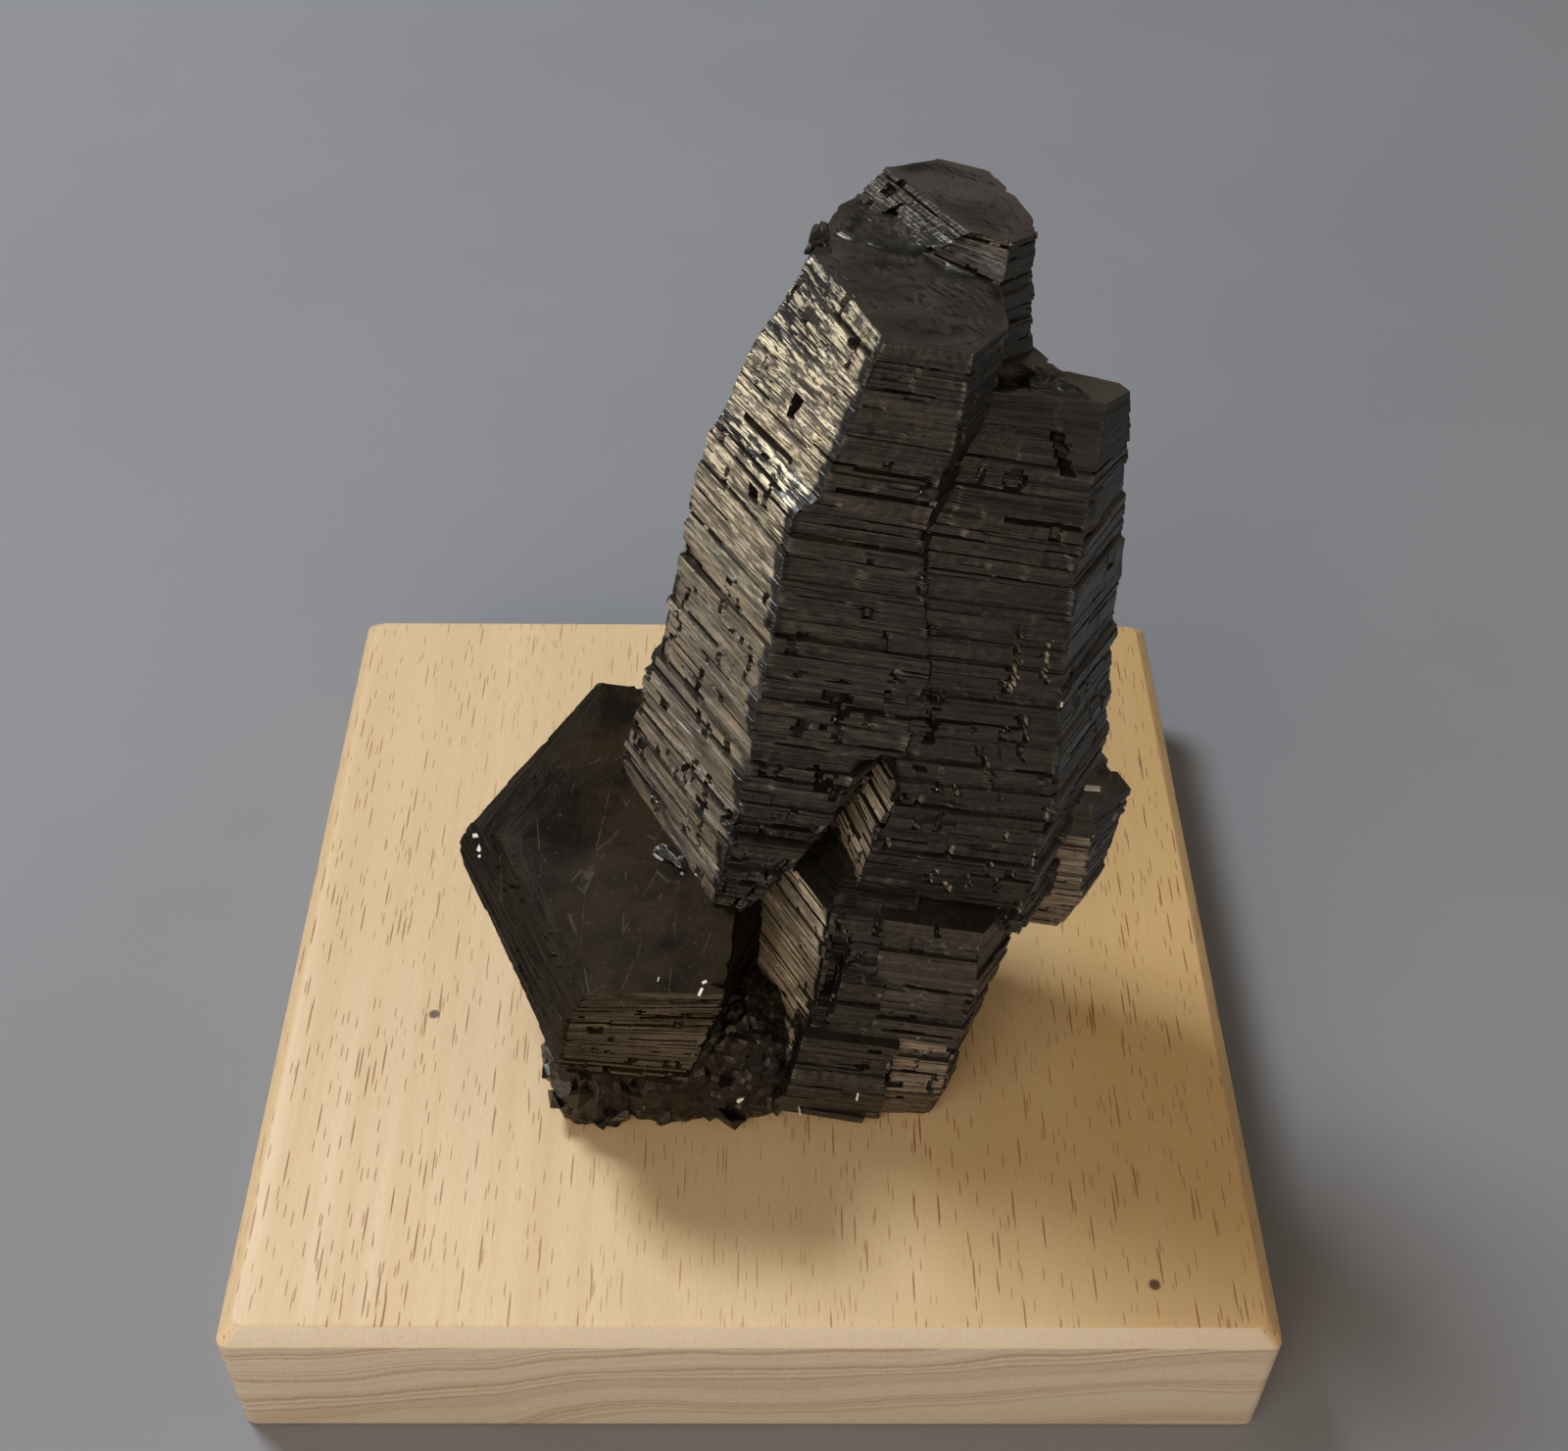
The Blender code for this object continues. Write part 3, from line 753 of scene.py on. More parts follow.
@dataclass(frozen=True)
class TopPlate:
    """A thin plate on a crystal's top: its convex anticlockwise outline, its rise and its slope's width."""

    corners: tuple[Pair, ...]
    rise: float
    edge: float = 0.2

    def share(self, x: float, y: float, waver: float) -> float:
        """One inside the outline, nothing outside it, with a short slope between.

        Args:
            x: the place across the crystal.
            y: the place along it.
            waver: how far the outline is moved outwards there.

        Returns:
            The share of the rise.
        """
        inside = self.edge + waver
        for (ax, ay), (bx, by) in zip(self.corners, self.corners[1:] + self.corners[:1]):
            length = math.hypot(bx - ax, by - ay)
            inside = min(inside, ((bx - ax) * (y - ay) - (by - ay) * (x - ax)) / length + waver)
        return min(1.0, max(0.0, inside / self.edge))


@dataclass(frozen=True)
class Relief:
    """How rough the sides of a crystal are, in millimetres.

    Plates lie in slats that shift together by slat_step, each plate in one by plate_step. A slat is broken
    into bricks about brick_run long that shift by brick_step, with cracks between some of them. groove_share
    is the share of slats with a deep groove above them, hairline_share that of plates with a shallow one.
    Below rough_below, rough_share of the slats have such a groove and the bricks are short.
    """

    slat_plates: tuple[int, int] = (2, 7)
    slat_step: float = 0.15
    slat_edge: float = 0.06
    plate_step: float = 0.025
    brick_run: float = 9.0
    brick_step: float = 0.07
    crack_chance: float = 0.28
    groove_share: float = 0.42
    groove_depth: float = 0.8
    groove_sink: Pair = (0.0, 0.12)
    groove_runs: tuple[int, int] = (1, 4)
    groove_start: Pair = (-0.3, 0.95)
    groove_length: Pair = (0.1, 0.6)
    groove_depths: Pair = (0.4, 1.25)
    notch_plates: tuple[int, int] = (2, 5)
    notch_reach: Pair = (0.15, 0.4)
    notch_share: float = 0.8
    hairline_share: float = 0.22
    hairline_depth: float = 0.16
    hairline_start: Pair = (-0.2, 0.9)
    hairline_length: Pair = (0.1, 0.5)
    most_bricks: int = 16
    brick_ragged: float = 0.16
    crack_reach: float = 0.2
    crack_depth: Pair = (0.2, 0.7)
    chip_share: float = 0.012
    chip_depth: Pair = (0.03, 0.1)
    pits_per_cm2: float = 0.6
    pit_width: Pair = (0.35, 1.1)
    pit_height: Pair = (0.3, 0.8)
    pit_depth: Pair = (0.5, 1.2)
    pit_ragged: float = 0.18
    point_step: float = 0.013
    rough_below: float = -1000.0
    rough_share: float = 0.9
    rough_scale: float = 0.55


@dataclass
class SideRelief:
    """One side of a pile while its relief is made, with a row of offsets for each plate.

    heights are those between plates. slats has each plate's slat number, negative where it is a groove's
    thin plate. runs is how far along the side each point lies.
    """

    relief: Relief
    rng: np.random.Generator
    heights: Array
    slats: Array
    runs: Array

    def __post_init__(self) -> None:
        """Starts from a plain side."""
        self.offsets = np.zeros((len(self.slats), len(self.runs)))
        self.middles = (self.heights[:-1] + self.heights[1:]) / 2

    def between(self, start: float, stop: float, moved: float = 0.0) -> Array:
        """Which points lie between two distances along the side."""
        return (self.runs - moved > start) & (self.runs - moved < stop)

    def beside(self, run: float, reach: float) -> Array:
        """Which points lie within reach of a distance along the side."""
        return np.abs(self.runs - run) < reach

    def bricks(self) -> None:
        """Shifts the slats, the bricks in them and the single plates."""
        relief = self.relief
        for slat in np.unique(self.slats[self.slats > 0]):
            rows = np.flatnonzero(self.slats == slat)
            rough = relief.rough_scale if self.heights[rows[0]] < relief.rough_below else 1.0
            cuts = np.cumsum(self.rng.exponential(relief.brick_run * rough, relief.most_bricks))
            cuts -= relief.brick_run / 2
            tones = self.rng.normal(0, relief.brick_step / rough, len(cuts) + 1)
            tones += self.rng.normal(0, relief.slat_step / rough)
            cracked = self.rng.random(len(cuts)) < relief.crack_chance / rough
            lean = self.rng.normal(0, relief.plate_step)
            for place, row in enumerate(rows):
                ragged = cuts + self.rng.normal(0, relief.brick_ragged, len(cuts))
                bricks = np.searchsorted(np.sort(ragged), self.runs)
                self.offsets[row] = tones[bricks] + lean * (place - len(rows) / 2)
                self.offsets[row] += self.rng.normal(0, relief.plate_step)
                for cut in ragged[cracked]:
                    opened = self.beside(cut, relief.crack_reach)
                    self.offsets[row, opened] -= self.rng.uniform(*relief.crack_depth)
            self.offsets[rows[[0, -1]]] -= relief.slat_edge

    def grooves(self) -> None:
        """Opens deep grooves between slats and hairlines within them."""
        length, uniform, relief = self.runs[-1], self.rng.uniform, self.relief
        for plate in np.flatnonzero(self.slats < 0):
            nearest = np.minimum(self.offsets[plate - 1], self.offsets[plate + 1])
            self.offsets[plate] = nearest - uniform(*relief.groove_sink)
            for _ in range(int(self.rng.integers(*relief.groove_runs))):
                start = uniform(*relief.groove_start) * length
                stop = start + uniform(*relief.groove_length) * length
                depth = relief.groove_depth * uniform(*relief.groove_depths)
                self.offsets[plate, self.between(start, stop)] -= depth
                if self.rng.random() < relief.crack_chance:
                    top = plate + int(self.rng.integers(*relief.notch_plates))
                    notch = self.beside(stop, uniform(*relief.notch_reach))
                    self.offsets[plate:top, notch] -= depth * relief.notch_share
        for plate in np.flatnonzero(self.rng.random(len(self.slats)) < relief.hairline_share):
            start = uniform(*relief.hairline_start) * length
            stop = start + uniform(*relief.hairline_length) * length
            self.offsets[plate, self.between(start, stop)] -= relief.hairline_depth

    def pits(self) -> None:
        """Scatters small ragged pits."""
        relief, low, high = self.relief, self.heights[0], self.heights[-1]
        area_cm2 = self.runs[-1] * (high - low) / 100
        for _ in range(self.rng.poisson(relief.pits_per_cm2 * area_cm2)):
            run, height = self.rng.uniform(0, self.runs[-1]), self.rng.uniform(low, high)
            wide, tall = self.rng.uniform(*relief.pit_width), self.rng.uniform(*relief.pit_height)
            reach = ((self.runs - run) / wide) ** 2 + ((self.middles[:, None] - height) / tall) ** 2
            inside = reach + self.rng.normal(0, relief.pit_ragged, reach.shape) < 1
            self.offsets -= np.where(inside, self.rng.uniform(*relief.pit_depth), 0)

    def cut(self, mark: Mark) -> None:
        """Cuts a listed break.

        Args:
            mark: its place and size.
        """
        for row in np.flatnonzero((self.middles > mark.low) & (self.middles < mark.high)):
            moved = mark.lean * (self.middles[row] - mark.low)
            start, stop = np.array([mark.start, mark.stop]) + self.rng.normal(0, mark.ragged, 2)
            self.offsets[row, self.between(start, stop, moved)] -= mark.depth


@dataclass
class PlatePile:
    """A crystal as a pile of basal plates.

    Its sides are cut finely where exposed says so and coarsely elsewhere. rise is how much each ledge slopes.
    Above crown_from the plates are thinner. Crystals with the same plate_seed share their plates' heights,
    which start at plates_from. The top face has listed plates and low natural steps of top_step.
    """

    name: str
    levels: Levels
    placing: Matrix
    seed: int
    exposed: tuple[int, ...]
    relief: Relief = Relief()
    plate: Pair = (0.26, 0.60)
    groove: Pair = (0.16, 0.30)
    fine: float = 0.27
    coarse: float = 0.62
    marks: tuple[Mark, ...] = ()
    rise: float = 0.05
    crown_from: float = 1000.0
    crown_share: float = 0.4
    top_plates: tuple[TopPlate, ...] = ()
    top_step: float = 0.09
    top_spacing: float = 0.4
    top_rim: float = 0.3
    cut_slack: float = 1e-4
    plates_from: float = -31.0
    plate_seed: int = 5
    sharp_deg: float = 40.0
    rng: np.random.Generator = field(init=False)

    def corners_at(self, height: float) -> Array:
        """The side corners at a height, between the outlines given below and above it."""
        stations, *columns = np.array(self.levels, dtype=float).T
        return np.array([np.interp(height, stations, column) for column in columns]).reshape(-1, 2)

    def side_lengths(self) -> Array:
        """Measures the sides.

        Returns:
            Each side's mean length over the crystal's height.
        """
        lengths = []
        for level in self.levels:
            ring = np.array(level[1:]).reshape(-1, 2)
            lengths.append(np.linalg.norm(np.roll(ring, -1, axis=0) - ring, axis=1))
        return np.mean(lengths, axis=0)

    def ring_places(self) -> tuple[Array, Array]:
        """Spreads points round a ring.

        Returns:
            Which side each point is on, and its share of the way along it.
        """
        sides: list[int] = []
        shares: list[float] = []
        for side, length in enumerate(self.side_lengths()):
            spacing = self.fine if side in self.exposed else self.coarse
            count = max(2, round(length / spacing))
            sides += [side] * count
            shares += [step / count for step in range(count)]
        return np.array(sides), np.array(shares)

    def plate_heights(self) -> tuple[Array, Array]:
        """Decides how thick each plate is.

        Returns:
            The heights between plates, and each plate's slat number, negative for a groove's thin plate.
        """
        pace = np.random.default_rng(self.plate_seed)
        low, high = self.levels[0][0], self.levels[-1][0]
        heights = [low]
        slats: list[int] = []
        height, slat, left = self.plates_from, 0, 0
        while height < high - self.plate[1]:
            opens = False
            if left == 0:
                slat += 1
                left = int(pace.integers(*self.relief.slat_plates))
                rough = height < self.relief.rough_below
                opens = pace.random() < (self.relief.rough_share if rough else self.relief.groove_share)
            thick = pace.uniform(*(self.groove if opens else self.plate))
            height += thick * (self.crown_share if height > self.crown_from else 1.0)
            left -= not opens
            if height > low + self.groove[0]:
                heights.append(height)
                slats.append(-slat if opens and slats else slat)
        heights[-1] = high
        slats[-1] = abs(slats[-1])
        return np.array(heights), np.array(slats)

    def relief_of(self, heights: Array, slats: Array, sides: Array, shares: Array) -> Array:
        """Makes the relief of all sides.

        Args:
            heights: the heights between plates.
            slats: each plate's slat number.
            sides: which side each point of a ring is on.
            shares: its share of the way along it.

        Returns:
            How far out each point of each plate stands from the crystal's own outline.
        """
        offsets = np.zeros((len(slats), len(sides)))
        for side, length in enumerate(self.side_lengths()):
            columns = np.flatnonzero(sides == side)
            carved = SideRelief(self.relief, self.rng, heights, slats, shares[columns] * length)
            carved.bricks()
            carved.grooves()
            carved.pits()
            for mark in self.marks:
                if mark.side == side:
                    carved.cut(mark)
            offsets[:, columns] = carved.offsets
        corners = np.flatnonzero(shares == 0)
        offsets[:, corners] = (offsets[:, corners - 1] + offsets[:, (corners + 1) % len(sides)]) / 2
        return offsets + self.rng.normal(0, self.relief.point_step, offsets.shape)

    def ring_at(self, height: float, offsets: Array, sides: Array, shares: Array) -> Array:
        """Makes one ring.

        Args:
            height: the ring's height along the axis.
            offsets: how far out each point is moved from the outline there.
            sides: which side each point is on.
            shares: its share of the way along it.

        Returns:
            The points across and along the crystal.
        """
        corners = self.corners_at(height)
        ahead = np.roll(corners, -1, axis=0)
        along = (ahead - corners) / np.linalg.norm(ahead - corners, axis=1)[:, None]
        outward = np.stack([along[:, 1], -along[:, 0]], axis=1)
        mitre = outward + np.roll(outward, 1, axis=0)
        mitre /= np.sum(mitre * outward, axis=1)[:, None]
        ways = np.where((shares == 0)[:, None], mitre[sides], outward[sides])
        on_outline = corners[sides] * (1 - shares)[:, None] + ahead[sides] * shares[:, None]
        return on_outline + ways * offsets[:, None]

    def rings(self) -> Array:
        """Makes all rings.

        Returns:
            The points ring by ring from the bottom, each ring's first point repeated at its end.
        """
        heights, slats = self.plate_heights()
        sides, shares = self.ring_places()
        offsets = self.relief_of(heights, slats, sides, shares)
        chipped = self.rng.random(offsets.shape) < self.relief.chip_share
        chips = np.where(chipped, self.rng.uniform(*self.relief.chip_depth, offsets.shape), 0)
        rows = []
        for plate, (low, high) in enumerate(zip(heights, heights[1:])):
            foot = low + self.rise * (plate > 0)
            for height, out in ((foot, offsets[plate]), (high, offsets[plate] - chips[plate])):
                ring = self.ring_at(height, out, sides, shares)
                ring = np.column_stack([ring, np.full(len(ring), height)])
                rows.append(np.vstack([ring, ring[:1]]))
        return np.array(rows)

    def cut_top(self, bm: bmesh.types.BMesh) -> None:
        """Cuts the flat top face into small cells and raises and sinks them by its plates and steps.

        Args:
            bm: the closed pile in its own axes.
        """
        face = max(bm.faces, key=lambda one: one.calc_center_median().z * (len(one.verts) > 4))
        geometry = [face, *face.edges, *face.verts]
        rim = set(face.verts)
        high = self.levels[-1][0]
        for axis in (Vector((1, 0, 0)), Vector((0, 1, 0))):
            places = [vert.co.dot(axis) for vert in rim]
            for at in np.arange(min(places) + self.top_spacing, max(places), self.top_spacing):
                plane = {"plane_co": axis * at, "plane_no": axis, "dist": self.cut_slack}
                geometry = bmesh.ops.bisect_plane(bm, geom=geometry, **plane)["geom"]
        corners = self.corners_at(high)
        along = np.roll(corners, -1, axis=0) - corners
        along /= np.linalg.norm(along, axis=1)[:, None]
        for vert in (one for one in geometry if isinstance(one, bmesh.types.BMVert)):
            away = np.array(vert.co.xy) - corners
            inside = float(np.min(along[:, 0] * away[:, 1] - along[:, 1] * away[:, 0]))
            vert.co.z += min(1.0, max(0.0, inside - self.top_rim)) * self.top_height(vert.co.x, vert.co.y)

    def top_height(self, x: float, y: float) -> float:
        """Measures the top's relief.

        Args:
            x: the place across the crystal.
            y: the place along it.

        Returns:
            How far the top stands out there.
        """
        place = Vector((x, y, self.seed * 3.7))
        waver = noise.noise(place * 0.9) + 0.5 * noise.noise(place * 2.6)
        terrace = noise.noise(Vector((x * 0.15, y * 0.21, self.seed * 1.9))) * 6 + waver * 0.3
        level = math.floor(terrace)
        height = self.top_step * (level + min(1.0, max(0.0, (terrace - level - 0.8) / 0.2)) + 0.15 * waver)
        return height + sum(plate.rise * plate.share(x, y, waver * 0.35) for plate in self.top_plates)

    def shape(self) -> bmesh.types.BMesh:
        """Wraps a grid round, welds its seam, fills its two ends and puts it in place.

        Returns:
            The closed pile.
        """
        self.rng = np.random.default_rng(self.seed)
        places = self.rings()
        count, width, _ = places.shape
        bm = bmesh.new()
        bmesh.ops.create_grid(bm, x_segments=width - 1, y_segments=count - 1, size=1.0)
        for vert, place in zip(bm.verts, places.reshape(-1, 3)):
            vert.co = place
        bm.verts.ensure_lookup_table()
        seam = {bm.verts[row * width + width - 1]: bm.verts[row * width] for row in range(count)}
        bmesh.ops.weld_verts(bm, targetmap=seam)
        bmesh.ops.edgeloop_fill(bm, edges=[edge for edge in bm.edges if edge.is_boundary])
        if self.exposed:
            self.cut_top(bm)
        bmesh.ops.recalc_face_normals(bm, faces=bm.faces)
        top = self.levels[-1][0] - 1.0
        for face in bm.faces:
            face.smooth = face.normal.z > 0.8 and all(vert.co.z > top for vert in face.verts)
        bmesh.ops.transform(bm, matrix=self.placing, verts=bm.verts)
        return bm

    def build(self, material: bpy.types.Material) -> bpy.types.Object:
        """Makes the finished crystal."""
        return finished_object(self.shape(), self.name, material, self.sharp_deg)


@dataclass(frozen=True)
class FootLump:
    """One broken lump of the foot: its middle, radius and height in millimetres."""

    x: float
    y: float
    radius: float
    height: float


@dataclass
class Foot:
    """The rough broken foot under the tabular crystal, cut flat where it meets the block."""

    lumps: tuple[FootLump, ...]
    floor: float = 18.3
    rounds: int = 5
    knob_per_mm: float = 0.42
    knob: float = 1.1
    grains_each: int = 46
    grain: Pair = (0.7, 2.1)
    grain_corners: int = 9
    seed: int = 41

    def grains(self, bm: bmesh.types.BMesh, lump: FootLump, rng: np.random.Generator) -> None:
        """Covers one lump with angular broken grains.

        Args:
            bm: the shape they are added to.
            lump: the lump's place and size.
            rng: decides where they lie.
        """
        for _ in range(self.grains_each):
            way = Vector(rng.normal(size=3)).normalized()
            place = Vector((lump.x, lump.y, self.floor + lump.height * 0.36))
            place += Vector((way.x * lump.radius, way.y * lump.radius, way.z * lump.height * 0.6))
            size = rng.uniform(*self.grain)
            made = []
            for _ in range(self.grain_corners):
                corner = place + Vector(rng.normal(size=3)).normalized() * size
                corner.z = max(corner.z, self.floor)
                made += bmesh.ops.create_vert(bm, co=corner)["vert"]
            hull = bmesh.ops.convex_hull(bm, input=made)
            spare = [e for e in hull["geom_interior"] if isinstance(e, bmesh.types.BMVert)]
            bmesh.ops.delete(bm, geom=spare, context="VERTS")

    def lump(self, bm: bmesh.types.BMesh, lump: FootLump, seed: int) -> None:
        """Adds one lump, knobbly with angular grains.

        Args:
            bm: the shape it is added to.
            lump: its place and size.
            seed: moves the pattern of its grains.
        """
        made = bmesh.ops.create_icosphere(bm, subdivisions=self.rounds, radius=1.0)["verts"]
        middle = Vector((lump.x, lump.y, self.floor + lump.height * 0.38))
        reach = Vector((lump.radius, lump.radius, lump.height * 0.62))
        for vert in made:
            way = vert.co.normalized()
            squared = way * (0.72 + 0.28 / max(abs(way.x), abs(way.y), abs(way.z)))
            place = middle + Vector(a * b for a, b in zip(squared, reach))
            cells = noise.voronoi(place * self.knob_per_mm + Vector((seed, 0, 0)))[0]
            fine = noise.voronoi(place * self.knob_per_mm * 3)[0]
            out = self.knob * (0.5 - cells[0]) + 0.35 * (0.5 - fine[0]) + 0.25 * noise.noise(place * 2.1)
            vert.co = place + way * out
            vert.co.z = max(vert.co.z, self.floor)

    def build(self, material: bpy.types.Material) -> bpy.types.Object:
        """Makes the foot as one object of overlapping lumps.

        Args:
            material: its finish.

        Returns:
            The finished object.
        """
        bm = bmesh.new()
        rng = np.random.default_rng(self.seed)
        for seed, lump in enumerate(self.lumps):
            self.lump(bm, lump, seed)
            self.grains(bm, lump, rng)
        bmesh.ops.transform(bm, matrix=Matrix.Scale(MM, 4), verts=bm.verts)
        return finished_object(bm, "broken_foot", material)


@dataclass
class Specks:
    """Pale chips and fibres on the crystals, some of them painted glints, each by a pixel of the photograph,
    length, width and turn in degrees.
    """

    view: PhotoView
    chips: tuple[tuple[float, float, float, float, float], ...] = (
        (1113, 805, 1.9, 0.75, 0), (875, 1118, 1.1, 0.22, 80), (815, 1130, 1.9, 0.16, 100),
        (1172, 572, 0.8, 0.5, 20), (487, 853, 0.9, 0.5, 10), (490, 866, 0.7, 0.6, 60),
        (755, 1122, 0.8, 0.5, 40), (1083, 719, 0.5, 0.2, 80), (715, 1013, 0.9, 0.3, 70),
        (719, 1003, 0.5, 0.3, 30), (490, 874, 0.4, 0.3, 0), (672, 1000, 0.5, 0.12, 80),
    )
    thickness: float = 0.18
    worn: float = 0.04
    upright: float = 0.6
    proud: float = 0.4

    def land(self, pixel: Sequence[float], carriers: Iterable[BVHTree]) -> tuple[Vector, Vector]:
        """Where a pixel's ray first meets the crystals, and the way out there.

        Args:
            pixel: the place in the photograph's frame.
            carriers: the trees of the pieces that it may lie on.

        Returns:
            The point and its normal, in metres.
        """
        start = Vector(self.view.place_m)
        hits = [tree.ray_cast(start, self.view.ray(pixel)) for tree in carriers]
        nearest = min((hit for hit in hits if hit[0] is not None), key=lambda hit: hit[3])
        return nearest[0], nearest[1]

    def build(self, carriers: Sequence[bpy.types.Object], material: bpy.types.Material) -> bpy.types.Object:
        """Makes all the specks as one object of small bevelled slivers.

        Args:
            carriers: the pieces that they may lie on.
            material: their finish.

        Returns:
            The finished object.
        """
        trees = []
        for carrier in carriers:
            corners = [vert.co for vert in carrier.data.vertices]
            trees.append(BVHTree.FromPolygons(corners, [face.vertices for face in carrier.data.polygons]))
        bm = bmesh.new()
        right = self.view.axes().col[0]
        for x, y, length, width, turn in self.chips:
            try:
                point, out = self.land((x, y), trees)
            except ValueError:
                continue
            out = (out + Vector((0, 0, self.upright))).normalized()
            across = (right - out * right.dot(out)).normalized()
            basis = Matrix((across, out.cross(across), out)).transposed().to_4x4()
            made = bmesh.ops.create_cube(bm, size=1.0)["verts"]
            bmesh.ops.scale(bm, vec=(length * MM, width * MM, self.thickness * MM), verts=made)
            spin = Matrix.Rotation(math.radians(turn), 4, "Z")
            lift = Matrix.Translation(point + out * self.thickness * MM * self.proud)
            bmesh.ops.transform(bm, matrix=lift @ basis @ spin, verts=made)
        bevel(bm, bm.edges, self.worn * MM)
        return finished_object(bm, "pale_specks", material)


@dataclass
class Block:
    """The sawn block: a narrow chamfer round the top, upright corners rounded, every edge a little worn."""

    corner_round: float = 1.2
    chamfer: float = 1.5
    worn: float = 0.16
    sharp_deg: float = 25.0

    def build(self, material: bpy.types.Material) -> bpy.types.Object:
        """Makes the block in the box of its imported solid.

        Args:
            material: its finish.

        Returns:
            The finished object.
        """
        low, high = (Vector(corner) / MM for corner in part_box(Node.BLOCK.value))
        bm = bmesh.new()
        bmesh.ops.create_cube(bm, size=1.0)
        bmesh.ops.scale(bm, vec=high - low, verts=bm.verts)
        bmesh.ops.translate(bm, vec=(low + high) / 2, verts=bm.verts)
        bevel(bm, [e for e in bm.edges if all(v.co.z > high.z / 2 for v in e.verts)], self.chamfer)
        corners = [e for e in bm.edges if abs(e.verts[0].co.z - e.verts[1].co.z) > self.chamfer / 2]
        bevel(bm, corners, self.corner_round, 5)
        sharp = [e for e in bm.edges if e.calc_face_angle() > math.radians(self.sharp_deg)]
        bevel(bm, sharp, self.worn, 3)
        bmesh.ops.scale(bm, vec=(MM, MM, MM), verts=bm.verts)
        for face in bm.faces:
            face.smooth = True
        return finished_object(bm, "sawn_block", material, self.sharp_deg)


@dataclass
class CrystalGroup:
    """All the crystals of the specimen, grown into each other."""

    tall: Matrix = field(default_factory=lambda: placing_of(TALL_TILT, TALL_CENTRE))
    tabular: Matrix = field(default_factory=lambda: placing_of(TABULAR_TILT, TABULAR_CENTRE))

    def piles(self) -> list[PlatePile]:
        """Lists the tall group's crystals and blocks.

        Returns:
            The piles, not built yet.
        """
        smooth = Relief(slat_step=0.13, groove_share=0.25, pits_per_cm2=0.4)
        broken = Relief(rough_below=29.0)
        bold = Relief(
            slat_step=0.17, groove_share=0.6, groove_depth=0.85, pits_per_cm2=0.4, crack_chance=0.2,
        )
        main_marks = (
            Mark(0, 0.8, 9.5, 41.9, 42.35, 1.0), Mark(0, 1.2, 10.5, 44.6, 45.0, 0.9),
            Mark(0, 2.0, 8.0, 46.6, 46.9, 0.8), Mark(6, 8.6, 9.8, 47.2, 49.4, 1.6),
            Mark(6, 3.2, 11.5, 44.0, 44.4, 0.9), Mark(6, 9.0, 10.6, 38.8, 40.4, 1.4),
            Mark(0, 10.4, 11.3, 17.2, 26.5, 2.0, 0.40, 0.3), Mark(0, 8.0, 10.2, 17.3, 18.1, 1.2),
            Mark(0, 3.6, 4.2, 20.0, 22.6, 1.0, 0.5, 0.2), Mark(0, 6.8, 7.3, 13.0, 15.4, 1.2, -0.4, 0.2),
        )
        right_marks = (
            Mark(0, 12.6, 14.0, 46.4, 49.0, 1.7, -0.9, 0.25), Mark(0, 3.2, 4.1, 19.5, 25.5, 1.4, 0.15, 0.3),
            Mark(0, 8.4, 15.6, 43.1, 43.45, 0.9), Mark(0, 10.6, 11.2, 27.0, 33.0, 0.9, 0.1, 0.2),
            Mark(0, 12.4, 12.9, 21.0, 24.0, 0.9, -0.2, 0.2),
        )
        left_marks = (Mark(0, 0.6, 2.5, -13.0, -4.0, 2.2),)
        tip_marks = (
            Mark(7, 4.6, 6.0, 57.6, 59.6, 1.1, 0.3, 0.2), Mark(7, 9.5, 11.5, 55.6, 56.6, 1.0, -0.4, 0.3),
            Mark(7, 2.0, 3.0, 59.8, 61.0, 0.8, 0.4, 0.2),
        )
        main_plates = (
            TopPlate(((-19, 12), (-13, 2), (-8, 2.6), (-7.4, 9), (-12, 17)), 0.10),
            TopPlate(((-18, 18), (-13, 15.5), (-8, 19), (-8, 25), (-16, 25)), 0.35),
        )
        right_plates = (
            TopPlate(((0, 10), (6.6, 9.6), (8, 11), (6, 12.2), (0, 14)), 0.5),
            TopPlate(((-6, 9), (-1, 9), (0.5, 12), (-3, 14), (-7, 13)), -0.5),
        )
        return [
            PlatePile(
                "main_prism", MAIN_PRISM, self.tall, 11, (0, 1, 6), broken, marks=main_marks,
                top_plates=main_plates,
            ),
            PlatePile(
                "right_prism", RIGHT_PRISM, self.tall, 12, (0, 1, 6), broken, marks=right_marks,
                top_plates=right_plates, top_step=0.16,
            ),
            PlatePile(
                "tip_prism", TIP_PRISM, self.tall, 13, (7, 0, 1, 2), plate=(0.22, 0.45), marks=tip_marks,
            ),
            PlatePile("knob", KNOB, self.tall, 21, (0, 1, 2, 3), smooth, plate=(0.15, 0.3)),
            PlatePile("root_prism", ROOT_PRISM, self.tall, 14, (), fine=0.6),
            PlatePile("low_left_prism", LOW_LEFT_PRISM, self.tall, 15, (0, 4), marks=left_marks),
            PlatePile("low_right_prism", LOW_RIGHT_PRISM, self.tall, 16, (0, 1, 2), bold),
            PlatePile("corner_block", CORNER_BLOCK, self.tall, 17, (0, 1), bold),
            PlatePile("front_block", FRONT_BLOCK, self.tall, 18, (0, 3), bold),
            PlatePile("middle_block", MIDDLE_BLOCK, self.tall, 19, (0, 1, 3), bold),
            PlatePile("side_crystal", SIDE_CRYSTAL, self.tall, 20, (0, 1, 2), smooth),
        ]

